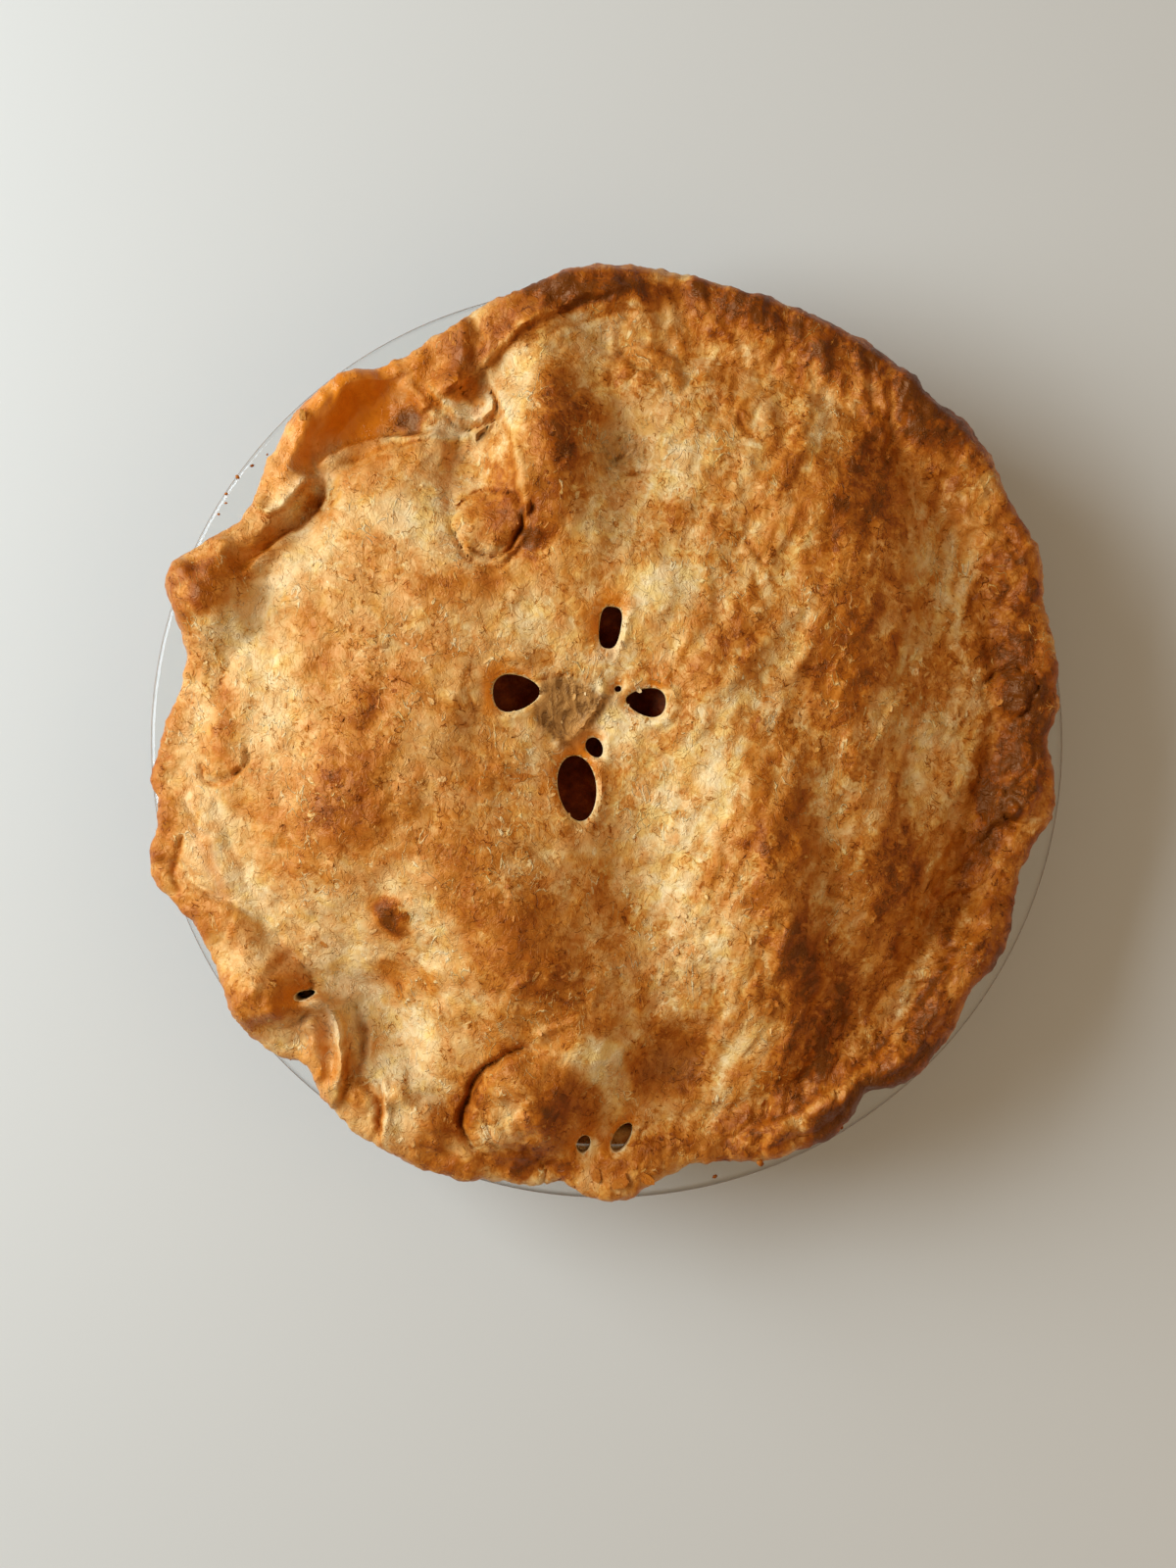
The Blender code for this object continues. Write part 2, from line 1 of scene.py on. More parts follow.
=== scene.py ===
"""Looks of the home-baked apple pie in its clear glass dish.

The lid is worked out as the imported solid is, from the same outline, dome, mounds, blisters, folds and
openings, and then gets what a finer mesh can hold: flaky layers, small bubbles, creases, pits and the
curled lips of its slits. Metres, +Z up, the dish's underside at z = 0.
"""

import json
import math
from collections import namedtuple

import bmesh
import bpy
import numpy as np
from mathutils import Matrix, Vector, noise

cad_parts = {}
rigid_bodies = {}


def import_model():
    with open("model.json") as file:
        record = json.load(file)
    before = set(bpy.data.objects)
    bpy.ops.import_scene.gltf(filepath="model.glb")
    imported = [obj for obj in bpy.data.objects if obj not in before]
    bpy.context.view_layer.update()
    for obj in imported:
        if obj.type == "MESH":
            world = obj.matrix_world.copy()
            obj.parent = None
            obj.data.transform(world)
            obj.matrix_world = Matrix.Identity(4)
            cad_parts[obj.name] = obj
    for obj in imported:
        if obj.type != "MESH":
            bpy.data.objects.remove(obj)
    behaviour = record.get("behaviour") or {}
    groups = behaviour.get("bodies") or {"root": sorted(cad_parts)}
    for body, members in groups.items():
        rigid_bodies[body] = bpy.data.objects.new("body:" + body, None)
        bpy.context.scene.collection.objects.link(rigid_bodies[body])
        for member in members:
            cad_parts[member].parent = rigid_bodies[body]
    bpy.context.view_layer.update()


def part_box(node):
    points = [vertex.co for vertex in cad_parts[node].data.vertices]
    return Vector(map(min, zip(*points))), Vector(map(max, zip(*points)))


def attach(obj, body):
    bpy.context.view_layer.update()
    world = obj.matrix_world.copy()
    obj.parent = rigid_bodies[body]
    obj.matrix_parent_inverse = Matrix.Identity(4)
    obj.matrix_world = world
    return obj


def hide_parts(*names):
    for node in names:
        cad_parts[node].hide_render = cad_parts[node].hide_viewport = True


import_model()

# ---------------------------------------------------------------- sizes from the frame
DISH_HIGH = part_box("glass_dish")[1]
DISH_RADIUS = DISH_HIGH.x
DISH_HEIGHT = DISH_HIGH.z
CASE_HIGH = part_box("pastry_case")[1]
LID_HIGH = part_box("pastry_lid")[1]

# Glass dish
BASE_RADIUS = 0.085
GLASS = 0.0042
FLANGE_THICKNESS = 0.0032
WALL_LEAN = 30.0
HEEL_RADIUS = 0.009
THROAT_RADIUS = 0.004

# Pastry case and filling
INTO_GLASS = 0.00006
CASE_THICKNESS = 0.0036
PASTRY_GAP = 0.0005
CASE_ROUNDING = 0.0012
FILLING_RADIUS = 0.1025
WELL_DEPTH = 0.0050
WELL_SPREAD = 0.030
WELL_MIDDLE = (-0.006, 0.008)

# Pastry lid
LID_THICKNESS = 0.0046
LID_LEAST = 0.0022
CRUST_REACH = 0.1195
SEAM_RADIUS = 0.1020
SEAM_HEIGHT = 0.0425
DOME_RISE = 0.0160
DOME_FULLNESS = 3.2
DOME_SHOULDER = 0.85
RIM_RISE = 0.0024
RIM_CREST = 0.58
RIM_FALL = 0.22
RIM_MIDDLE = 0.110
LIP = 0.0042
UNDERSIDE = DISH_HEIGHT + 0.0001
UNDERSIDE_INSET = 0.0015
ARCH_RUN = 0.014
CRUMPLE = 0.0007
CRUMPLE_SIZE = 0.013
CREASE_WIDTH = 0.0009
FOLD_SLOPE = 0.0016
FOLD_FADE = 0.2
LINE_FADE = 0.25
HEADROOM = 0.0010

# How far each kind of form is moved about by noise, the noise's size and its seed
SLIGHT_WAVER = (0.0018, 0.009, 89)
BLISTER_WAVER = (0.0030, 0.008, 91)
SYRUP_WAVER = (0.0022, 0.008, 89)
LOW_BLISTER = 0.005

# Mesh density: the lid's rings from the middle to the edge, those round the edge, those beneath
TOP_RINGS = 152
EDGE_RINGS = 12
UNDER_RINGS = 24
UNDER_FILLING_RINGS = 17
FILLING_RINGS = 60
RING_CROWDING = 1.15
DROOP = 0.0022
DROOP_START = 0.1232
DROOP_RUN = 0.0040

Lobe = namedtuple("Lobe", "angle spread amount")
Mound = namedtuple("Mound", "x y length width turn rise")
Blister = namedtuple("Blister", "x y length width turn rise crease facing reach")
Fold = namedtuple("Fold", "points rise back")
Ridge = namedtuple("Ridge", "points rise width lean")
Opening = namedtuple("Opening", "name x y length width turn taper square lip")
Crease = namedtuple("Crease", "points depth width")
Patch = namedtuple("Patch", "x y length width turn amount")
Loose = namedtuple("Loose", "x y size")


def in_metres(kind, lengths, rows):
    """Rows of one kind, in metres, from rows whose fields named in lengths are in millimetres."""

    def metres(name, value):
        if name == "points":
            return [(x / 1000, y / 1000) for x, y in value]
        return value / 1000 if name in lengths.split() else value

    return [kind(*map(metres, kind._fields, row)) for row in rows]


# The tables below are in millimetres and degrees. Lobes: where round the pie, how wide, how much
OUTLINE_LOBES = in_metres(Lobe, "amount", [
    (56, 34, 7.2), (86, 9, 3), (93, 8, 3), (46, 2.5, -1.6), (38, 9, 3), (24, 4, 3), (3, 3, 2), (12, 4, 1),
    (1, 4, -3.6), (118, 8, -4), (126, 4, 2.4), (147, 7, -6.2), (159, 4.6, 5.8), (170, 7, -6),
    (184.5, 2.6, 3), (196, 5, 7.6), (218, 6, 3), (227.5, 2.4, -4), (241, 11, 4.6), (252, 4, 1.6),
    (264, 2, -2.4), (271, 4.5, 3), (282, 6, -4.8), (299, 4, 1.2), (306, 3, -4.2), (314, 4, 1),
    (325, 4, -2.6), (342, 7, -4), (351, 3, 1.2),
])

SEAM_LOBES = in_metres(Lobe, "amount", [
    (52, 34, 5), (117, 10, -11), (146, 8, -5), (161, 5, -6), (183, 10, 3), (228, 9, -12), (259, 7, -4),
    (318, 20, -3), (350, 12, -3),
])

RIM_LOBES = in_metres(Lobe, "amount", [
    (60, 50, 0.8), (160, 6, 4.8), (148, 6, -1.8), (190, 22, -3.4), (216, 6, 5), (244, 12, -1),
    (262, 8, -2), (320, 26, 1.4), (302, 4, 2), (24, 5, 1.8), (9, 4, 2.2), (352, 4, 2), (92, 10, 1.4),
])

# Mounds: broad soft humps and hollows, with their middle, length, width, turn and rise
MOUNDS = in_metres(Mound, "x y length width rise", [
    (-70, -17, 44, 34, 70, 7), (-72, 40, 62, 40, 30, 2.2), (-30, -45, 78, 38, -62, 7.6),
    (-48, -97, 34, 24, -50, 5.2), (-60, -73, 38, 22, -60, -4.8), (-15, 80, 60, 23, -82, 9.2),
    (4, 76, 34, 18, -78, -6.6), (-36, 78, 44, 16, 72, -3.8), (-10, 8, 40, 34, 0, -2.8),
    (9, -40, 76, 28, -85, -6.4), (44, -40, 86, 32, -80, 7.8), (58, -36, 60, 14, -85, -3.4),
    (71, -42, 50, 18, -85, 3.4), (52, 72, 52, 32, 75, 3.8), (67, 40, 104, 34, 80, 5.8),
    (87, 40, 84, 18, 84, -4.4), (94, -34, 36, 18, 70, -4.6), (18, -86, 34, 26, 20, -7),
    (-3, -81, 24, 18, 0, 3.4), (44, -88, 36, 18, 30, 3), (30, 21, 40, 22, 62, 3.2),
    (-63, 86, 44, 18, 32, -6.6), (-79, 60, 28, 10, 44, -4), (92, -62, 50, 10, 52, 1.4),
    (-101, 8, 66, 18, 84, 3.4), (-99, -36, 46, 16, -68, 3.2), (-44, 10, 34, 24, 20, 2),
    (-106, 39, 22, 20, 0, 4.4), (-40, 40, 36, 20, 0, 1.6), (14, 40, 30, 24, 20, 1.4),
])

# Blisters: middle, size, turn, rise, and the crease round the part of the edge that faces one way
BLISTERS = in_metres(Blister, "x y length width rise crease", [
    (-19.5, -97, 37, 32, 25, 10.8, 2.6, 160, 62),
    (-18, -100, 16, 13, 10, 1.4, 0.5, 200, 90),
    (-30.5, 57, 20, 17.6, 20, 3, 1, 300, 120),
    (-102, -3, 15, 16, 0, 1.2, 1.1, 292, 72),
    (-56, -45.5, 13, 9, -60, 1.4, 0.4, 250, 80),
    (106.5, 13, 13.5, 12, 30, 2.6, 1.2, 40, 120),
    (-90, -65, 24, 21.5, -30, 5.6, 0.7, 350, 60),
    (11.5, 96.5, 20, 16, -15, 1.2, 0.8, 60, 100),
    (-3, 88, 12, 11, 0, 2, 0.4, 180, 50),
    (-86, -27, 5.5, 5, 0, -0.6, -0.4, 0, 170),
    (111, -15, 13, 10, 60, 2, 1.2, 180, 90),
    (-11.5, 8.5, 20, 16.5, -20, -1.4, 0, 20, 130),
    (-34.5, 6.5, 9, 13, 0, -0.6, 0, 180, 90),
    (-32.5, 81.5, 6, 3.2, 38, -2.6, 0, 120, 170),
    (3.5, 75.5, 12, 9, -20, -1.2, 0, 90, 80),
])

# Folds: a ledge along a line, its high side on the left where the rise is positive
FOLDS = in_metres(Fold, "points rise back", [
    ([(-96, 44), (-90, 49.5), (-81, 56.5), (-74.5, 64), (-76, 71)], -3.4, 10),
    ([(-77, 72), (-70.5, 78.5), (-60, 81.2), (-50, 81.2), (-40, 81.6)], -4.2, 10),
    ([(-20, 50), (-22, 62), (-24, 74), (-28, 88), (-33, 101)], -2.8, 9),
    ([(-47.8, 96), (-45, 89.5), (-40.5, 85.5), (-33, 83.8), (-29, 87), (-31.5, 94)], 4.4, 10),
    ([(-81, -68), (-73.5, -67.5), (-68.5, -75), (-68.5, -86), (-72, -98)], -2.8, 7),
    ([(-58.5, -89), (-59.7, -97), (-59.5, -108)], 3.2, 8),
    ([(38, -103), (54, -95), (70, -83), (84, -68), (96, -50)], -2.6, 8),
    ([(-44, 91.5), (-37, 94.5), (-30, 100), (-20, 110), (-8, 116), (6, 118.5)], 2.8, 9),
    ([(-92, 60), (-88, 60), (-83, 64), (-79, 70)], 2.2, 5),
])

# Ridges: a raised line with its height, half-width and how much steeper its right side is
RIDGES = in_metres(Ridge, "points rise width", [
    ([(-107, 44), (-96.5, 53), (-88, 59), (-82.5, 64.5), (-78, 71)], 4.6, 4, 0.15),
    ([(-88.5, 64), (-82.5, 77.5), (-78, 83), (-71, 91.6), (-64, 96.6), (-53, 100)], 5, 4.2, 0.2),
    ([(-20, 62), (-22, 70), (-26, 80), (-29, 91)], 1.6, 1.8, -0.3),
    ([(-119, -12), (-114.5, -20), (-109.5, -31.5), (-103, -47), (-97, -60)], 1.6, 5, 0.2),
    ([(-80, -69), (-75, -67.8), (-70.5, -72.5), (-69, -81), (-71, -92)], 4, 1.8, 0),
    ([(-78.5, -72), (-76.5, -81), (-76.5, -90)], 2.6, 2.2, 0),
    ([(-1.5, 16.5), (-1.5, 11), (-3.5, 5.5), (-9, 0.5), (-15, -1)], 1.7, 0.9, 0),
    ([(26, 10), (36, 20), (46, 30), (56, 42)], 1, 2, 0.2),
    ([(46, 12), (53, 26), (60, 42)], 0.9, 1.8, 0.2),
    ([(40, 64), (46, 72), (54, 78)], 0.8, 1.6, 0),
    ([(59, 50), (66, 72), (70, 88)], 1, 3, 0),
    ([(104, -36), (98, -58), (85, -76), (68, -91), (48, -103), (32, -108)], 2.6, 3.2, 0),
    ([(92, -44), (82, -60), (67, -76), (50, -88)], 1.8, 2.8, 0.2),
    ([(77, -30), (78, -46), (73, -60)], 1.6, 3.2, 0.2),
    ([(62, -26), (63, -44), (60, -60)], 1.2, 2.8, 0.1),
    ([(44, -12), (41, -32), (44, -52), (50, -66)], 1.8, 4, 0.3),
    ([(5.5, 104.5), (13, 103), (20.5, 98.5)], 0.9, 1.2, 0),
    ([(-18, -76), (-11, -74.5), (-6, -70.5)], 0.9, 0.8, 0),
    ([(-4.5, -69), (-2, -65), (-2, -60)], 0.8, 0.8, 0),
    ([(-25.5, -64), (-21.5, -62.5), (-19, -60)], 0.8, 0.8, 0),
    ([(-56, -90), (-50, -98), (-42, -104)], 1.8, 2.6, 0),
    ([(-54, 96), (-50, 92), (-48, 87)], 2, 2.2, 0),
])

# Openings: middle, length, width, turn, how much the far end narrows, how square, rise of the curled lip
OPENINGS = in_metres(Opening, "x y length width lip", [
    ("slit_north", 0.7, 29.2, 11, 5.6, 82, -0.1, 3, 0.4),
    ("slit_west", -23.6, 12.4, 12.2, 9.4, 4, 0.3, 2.2, 0.3),
    ("slit_east", 10, 10, 10.4, 7.2, -8, -0.34, 2.1, 0.8),
    ("slit_east_pinhole", 2.8, 13.4, 1.8, 1.6, 0, 0, 2, 0.3),
    ("slit_south", -7.8, -12.4, 17.2, 10, -82, 0.08, 2, 0.4),
    ("slit_south_small", -3.3, -1.8, 5.6, 4.2, -60, 0.1, 2, 0.3),
    ("tear_south", 4, -105.2, 8.6, 4.2, 58, 0.1, 2, 0.4),
    ("tear_south_west", -6.2, -106.8, 5.2, 3.6, 75, 0, 2, 0.3),
    ("tear_west", -79.5, -66.8, 5.2, 2.2, 14, 0.3, 2, 0),
])
MEMBRANE = in_metres(Opening, "x y length width lip", [
    ("membrane", -10.3, 7.8, 18.5, 15.8, -32, -0.12, 2.8, 0),
])[0]
OPENING_SIDES = 40
LIT_SIDE = 315
CUTTER_LOW = UNDERSIDE - 0.004
CUTTER_HIGH = 0.080

# Creases pressed or cracked into the surface: line, depth, width
CREASES = in_metres(Crease, "points depth width", [
    ([(-108.5, -4.5), (-106, -11.5), (-100, -12), (-95.5, -7)], 1, 0.7),
    ([(-40, 56), (-37.5, 50.5), (-33, 47.8), (-26.2, 48.2), (-22.2, 53), (-21.5, 59)], 1.3, 0.6),
    ([(-39.2, 60), (-36, 65), (-29, 66.2), (-23, 63)], 0.8, 0.5),
    ([(-28, -83.5), (-33.5, -88), (-37.5, -97.5), (-38, -102)], 1.4, 0.9),
    ([(-66, -88), (-60, -94.5), (-60, -104)], 1.2, 0.8),
    ([(-112, -24), (-115, -32), (-113, -42)], 0.8, 0.8),
    ([(-34, 20), (-37.5, 15), (-35, 9), (-29, 6)], 0.5, 0.8),
    ([(5, 70), (8.5, 68.5), (11, 71)], 1.2, 0.7),
    ([(-19, 15.2), (-13, 16.6), (-7, 16.4), (-2.5, 14)], 0.8, 0.4),
    ([(-2.8, 12), (-4.2, 6), (-8, 1.8), (-13, -0.8)], 0.5, 0.4),
    ([(-19, -64), (-12, -68), (-5, -66)], 0.5, 0.6),
    ([(-17, -60), (-11, -63.5), (-5, -62)], 0.4, 0.6),
    ([(33, 86), (36, 80), (42, 78)], 0.5, 0.6),
    ([(104, -11), (109, -16), (108, -22), (104, -19)], 1, 0.8),
    ([(36, 52), (40, 46), (43, 40)], 0.6, 0.7),
    ([(-46.5, 88.5), (-41.5, 84.2), (-33.5, 82.4), (-27.5, 85)], 1.8, 0.6),
    ([(-72, 74), (-62, 77), (-50, 79), (-42, 80)], 1, 1.2),
    ([(-40, 50), (-33, 44), (-24, 46), (-19, 54), (-20, 66)], 0.7, 0.8),
    ([(-67, -70), (-65, -77), (-64, -86)], 2, 0.8),
    ([(-23, 104), (-10, 110), (3, 113), (16, 114)], 0.8, 1.2),
])

# How much more or less the crust has browned: middle, length, width, turn, share of full browning
# A few patches paint shadow or light: (-51, 85) and (-54, 84) are a painted shadow under the flap at the
# trough's end, (-100, 34) and (-104, -40) are painted light on the left rim.
BROWNING_AND_SHADE = in_metres(Patch, "x y length width", [
    (-105, 39, 20, 16, 0, 0.26), (-92, 50, 24, 10, 38, 0.24), (-78, 62, 9, 7, 0, 0.35),
    (-76, 79, 24, 10, 60, 0.12), (-40, 101, 30, 14, 50, 0.26), (-24, 110, 30, 11, 32, 0.28),
    (-14, 117, 20, 10, 20, 0.32), (4, 119, 48, 11, 0, 0.6), (34, 114, 26, 14, -20, 0.48),
    (57, 106, 36, 16, -32, 0.46), (84, 91, 38, 18, -48, 0.46), (-12, 84, 44, 14, -84, 0.26),
    (-17, 55, 18, 9, 70, 0.32), (-30, 57, 19, 17, 0, 0.24), (-38, 42, 22, 10, 0, 0.18),
    (16, 59, 8, 8, 0, 0.28), (22, 100, 36, 14, -10, 0.14), (28, 86, 16, 14, 0, 0.12),
    (48, 74, 18, 12, 70, 0.2), (38, 54, 18, 10, 60, 0.12), (70, 72, 42, 24, 70, 0.3),
    (66, 46, 56, 24, 80, 0.26), (61, 16, 36, 22, 70, 0.26), (34, 26, 20, 12, 60, 0.16),
    (83, 12, 36, 16, 88, 0.12), (106, 40, 56, 16, 82, 0.52), (111, 10, 34, 16, 88, 0.44),
    (103, -14, 32, 18, 85, 0.54), (92, -38, 36, 14, 68, 0.34), (74, -44, 50, 18, 84, 0.34),
    (46, -26, 30, 12, 85, 0.28), (53, -62, 36, 20, -70, 0.46), (62, -76, 26, 16, 40, 0.22),
    (50, -86, 30, 14, 20, 0.34), (78, -86, 56, 16, 44, 0.5), (60, -100, 26, 10, 34, 0.42),
    (107, -42, 42, 11, 68, 0.42), (15, -85, 24, 18, 0, 0.36), (26, -107, 40, 10, 4, 0.34),
    (-10, -94, 28, 14, 75, 0.26), (-22, -111, 28, 8, 0, 0.4), (-41, -98, 26, 12, 50, 0.3),
    (-24, -81, 18, 6, 0, 0.18), (-18, -58, 52, 22, -52, 0.24), (4, -52, 44, 11, -80, 0.16),
    (-36, -34, 24, 18, -60, 0.12), (-66, -14, 30, 22, 70, 0.22), (-86, -20, 18, 16, 0, 0.08),
    (-55, -46, 13, 8, -60, 0.46), (-86, -67, 20, 16, -30, 0.16), (-69, -90, 22, 10, -60, 0.22),
    (-103, -45, 22, 6, -70, 0.22), (-119, -8, 14, 8, 70, 0.18), (-121, -32, 14, 8, -70, 0.14),
    (-58, 14, 26, 10, 40, 0.14), (-62, 7, 8, 7, 0, 0.22), (-30, -8, 40, 18, -60, 0.1),
    (-20, 20, 20, 6, 20, 0.12), (-90, 24, 60, 22, 86, -0.3), (-78, 52, 30, 10, 40, -0.18),
    (-50, 58, 26, 16, 0, -0.18), (15, 39, 20, 14, 0, -0.28), (20, 76, 30, 18, 70, -0.22),
    (-26, 86, 26, 7, 74, -0.22), (-42, 83, 16, 6, 0, -0.34), (17, -30, 44, 20, -80, -0.26),
    (24, -52, 24, 12, -60, -0.2), (29, -8, 24, 14, 60, -0.2), (2, 4, 18, 10, -60, -0.26),
    (-97, -32, 40, 20, -80, -0.22), (-84, -44, 30, 22, 30, -0.14), (-51, -84, 36, 12, -60, -0.26),
    (-66, -60, 36, 18, 20, -0.24), (-3, -84, 14, 10, 0, -0.24), (-110, 0, 30, 16, 80, -0.2),
    (-114, -34, 22, 10, -75, -0.14), (70, -70, 36, 8, 44, -0.14), (33, -86, 22, 8, 70, -0.22),
    (89, 2, 14, 10, 0, -0.16), (30, 6, 30, 10, 40, -0.1), (5, 106, 22, 8, 10, -0.12),
    (-20, 36, 22, 14, 60, -0.12), (-30, -98, 10, 22, 0, -0.16), (-51, 85, 14, 10, 10, 0.6),
    (-85, 30, 18, 12, 30, 0.12), (-66, 22, 18, 10, 20, 0.13), (-100, 8, 16, 10, 80, 0.15),
    (-21, 48, 11, 10, 0, 0.2), (-30, 70, 8, 12, 0, 0.13), (56, 51, 11, 10, 0, 0.16),
    (91, 69, 22, 11, -70, 0.18), (93, -52, 36, 10, 58, 0.24), (80, -72, 26, 8, 48, 0.16),
    (25, -77, 20, 13, 0, 0.2), (18, -88, 18, 13, 0, 0.14), (45, -99, 22, 9, 10, 0.24),
    (-8, -20, 12, 8, 60, 0.14), (-53, -61, 15, 10, -30, 0.17), (-44, -112, 20, 8, -20, 0.2),
    (0, -111, 14, 8, 0, 0.2), (-102, 36, 32, 18, 60, -0.14), (-100, -36, 54, 18, -70, -0.18),
    (-76, -80, 54, 22, -45, -0.18), (-46, -46, 34, 14, -60, -0.17), (-60, 50, 50, 26, 20, -0.1),
    (-16, 103, 36, 12, 10, -0.18), (-76, 85, 16, 12, 45, -0.14), (-36, 51, 13, 12, 0, -0.16),
    (-4, 56, 28, 11, 0, -0.14), (-22, -5, 16, 12, 0, -0.14), (-3, -84, 18, 12, 0, -0.18),
    (48, 85, 16, 10, 0, -0.13), (63, -83, 14, 10, 0, -0.16), (-16, 80, 34, 12, -84, 0.1),
    (-105, 40, 14, 14, 0, 0.14), (-68, -80, 16, 10, -40, -0.14), (16, -36, 40, 14, -85, 0.08),
    (-92, -50, 16, 10, -60, 0.1), (-96, -24, 22, 10, 88, 0.12), (-55, -60, 12, 30, 20, 0.08),
    (-4, 16, 56, 40, 0, -0.06), (64, 78, 30, 20, 70, 0.1), (-23, 12, 18, 4, 8, 0.18),
    (5.8, 11.8, 7, 7, 0, -0.34), (12, 5, 14, 4, -10, -0.34), (16, 9.2, 4, 8, 0, -0.3),
    (11, 15.6, 14, 4, -12, 0.24), (5.2, 31, 4, 14, 0, -0.24), (-1.2, 12, 4, 10, -10, -0.3),
    (-4, 4.5, 4, 9, -35, -0.3), (-10.5, -0.8, 11, 4, 25, -0.3), (-100, 34, 44, 12, 66, -0.12),
    (-104, -40, 46, 12, -68, -0.06), (-76, 76, 26, 10, 62, -0.16), (-43, 76, 26, 8, 80, -0.14),
    (-32, 50, 14, 10, 10, -0.16), (-66, -70, 16, 10, -20, -0.34), (-57, -88, 14, 12, -40, -0.3),
    (-2, -83, 16, 14, 0, -0.42), (63, -84, 16, 9, 40, -0.14), (-20, 103, 14, 10, 0, -0.12),
    (44, 56, 6, 14, -20, -0.16), (86, 0, 22, 10, 0, -0.12), (-54, 84, 12, 9, 0, 0.2),
    (-32, 112, 16, 8, 30, 0.16), (4, 105, 11, 8, 0, 0.16), (52, 100, 13, 9, 0, 0.16),
    (23, 110, 9, 12, 0, 0.16), (46, 69, 16, 12, 60, 0.14), (55, 49, 14, 9, 50, 0.18),
    (32, 3, 14, 8, 20, 0.16), (40, -40, 9, 36, 8, 0.18), (62, -38, 9, 14, 0, 0.16),
    (-30, 69, 8, 13, 0, 0.14), (-18, 50, 12, 9, 40, 0.14), (-5, -15, 7, 14, -10, 0.14),
    (-40, -113, 20, 7, -20, 0.16), (0, -112, 16, 7, 0, 0.14), (36, -105, 20, 8, 15, 0.12),
    (-38.5, 86.8, 14, 3, -20, -0.5), (-29.8, 87.2, 3, 6, 0, -0.4), (-37, 92.5, 12, 8, 0, 0.14),
    (-44, 82.8, 13, 4, -8, -0.3), (-106, 41, 16, 14, 0, 0.16), (-70, -12, 26, 22, 70, 0.12),
    (-13, 82, 30, 10, -84, 0.06), (88, -62, 30, 12, 56, 0.08), (60, 46, 46, 20, 80, -0.06),
    (-22, -46, 40, 16, -60, -0.04), (-24, -101, 18, 14, 0, -0.14), (-83, 29, 20, 16, 60, 0.16),
    (-78, 55, 16, 8, 40, 0.12), (-97, 9, 14, 14, 0, 0.16), (-88, -30, 20, 18, 0, 0.12),
    (-29, 76, 10, 22, 0, 0.16), (23, 15, 12, 12, 0, 0.16), (40, 60, 10, 14, 0, 0.14),
    (24, -26, 12, 18, 0, 0.1), (46, -76, 12, 18, 0, 0.14), (-58, -64, 10, 16, 0, 0.14),
    (-115, -30, 12, 8, -70, 0.14), (-118, -6, 8, 8, 0, 0.16), (-4, 62, 16, 16, 0, -0.12),
    (-7, 94, 14, 14, 0, -0.14), (-20, 112, 14, 8, 20, -0.14), (44, 28, 8, 20, 0, -0.12),
    (-115, 2, 34, 12, 88, 0.1), (-114, -34, 40, 12, -68, 0.1), (-109, 24, 24, 10, 80, 0.06),
    (-100, -38, 30, 10, -66, 0.12), (30, -6, 16, 10, 60, -0.08), (-60, 50, 36, 20, 20, 0.06),
    (117, -4, 60, 10, 88, 0.14), (70, -82, 40, 14, 44, 0.06), (-10, -36, 18, 12, -60, -0.06),
    (72, 60, 40, 16, 76, -0.05), (-74, -48, 22, 14, 10, -0.08),
])

# Where apple syrup has boiled up and soaked the crust, and where the dough is thin and see-through
# The negative patch at (-54.5, 83.5) clears syrup so that the painted shadow under the flap shows.
SYRUP = in_metres(Patch, "x y length width", [
    (-67, 90.5, 34, 18, 36, 1.1), (-60, 84, 18, 10, 20, 0.8), (-54.5, 83.5, 11, 9, 0, -0.9),
    (-82, 74, 18, 10, 58, 0.6), (-94, 49, 22, 6, 38, 0.4), (-39, 93, 3, 10, -20, 0.6),
    (-35, 90, 3, 9, 10, 0.5), (-103.5, -34, 36, 5, -70, 0.55), (-74.5, -83, 12, 24, 10, 0.28),
    (-114, 16, 8, 30, 10, 0.25), (0, 23.5, 10, 6, 0, 0.25), (-31, 13, 5, 10, 0, 0.5),
    (-16.5, -10, 4, 12, 0, 0.45), (-4.5, 30, 4, 10, 0, 0.45), (-75, -77, 6, 12, 0, 0.35),
    (-75, -88.5, 4, 4, 0, 0.5), (63, 20, 20, 8, 70, 0.22), (48, -30, 26, 8, 85, 0.25),
])
CARAMEL_POOLS = in_metres(Patch, "x y length width", [
    (-64, 87, 34, 22, 30, 1), (-50, 84, 20, 12, 10, 1),
])
THIN = in_metres(Patch, "x y length width", [
    (-34.5, 6.5, 7, 12, 0, 0.4), (3.5, 75.5, 12, 10, 0, 0.8), (-33, 97, 5, 5, 0, 0.7),
    (-32.5, 81.5, 6, 3.4, 38, 0.9), (-43, 83, 18, 6, -6, 0.2), (-62, 79.5, 28, 5, 10, 0.35),
    (17, -86, 14, 10, 0, 0.25),
])

# Loose pieces, with their places and sizes: scraps torn from the rim, crumbs on the flange
SCRAPS = in_metres(Loose, "x y size", [
    (-3, -115, 2.2), (3.5, -116.5, 3), (10.5, -115.5, 2.4), (-80, 85.5, 1.8),
])
CRUMBS = in_metres(Loose, "x y size", [
    (40.5, -111.5, 1.1), (29, -116.5, 0.8), (-83, 87, 1.2), (-95, 74, 0.5), (-99, 71, 0.6),
    (-102, 66.5, 0.5), (-91, 77, 0.4), (-102, 64, 0.4), (-104, 61, 0.5), (-84, -84.5, 0.5),
    (62, -102, 0.5),
])
ABOVE_ALL = 0.1
DOWN = Vector((0.0, 0.0, -1.0))
FLAKE_DOUBLINGS = 12
FLAKE_CROWDS = 110
CHIP_SIDES = 9
CHIP_POINTS = 2 * CHIP_SIDES
STRETCHED = 68.0

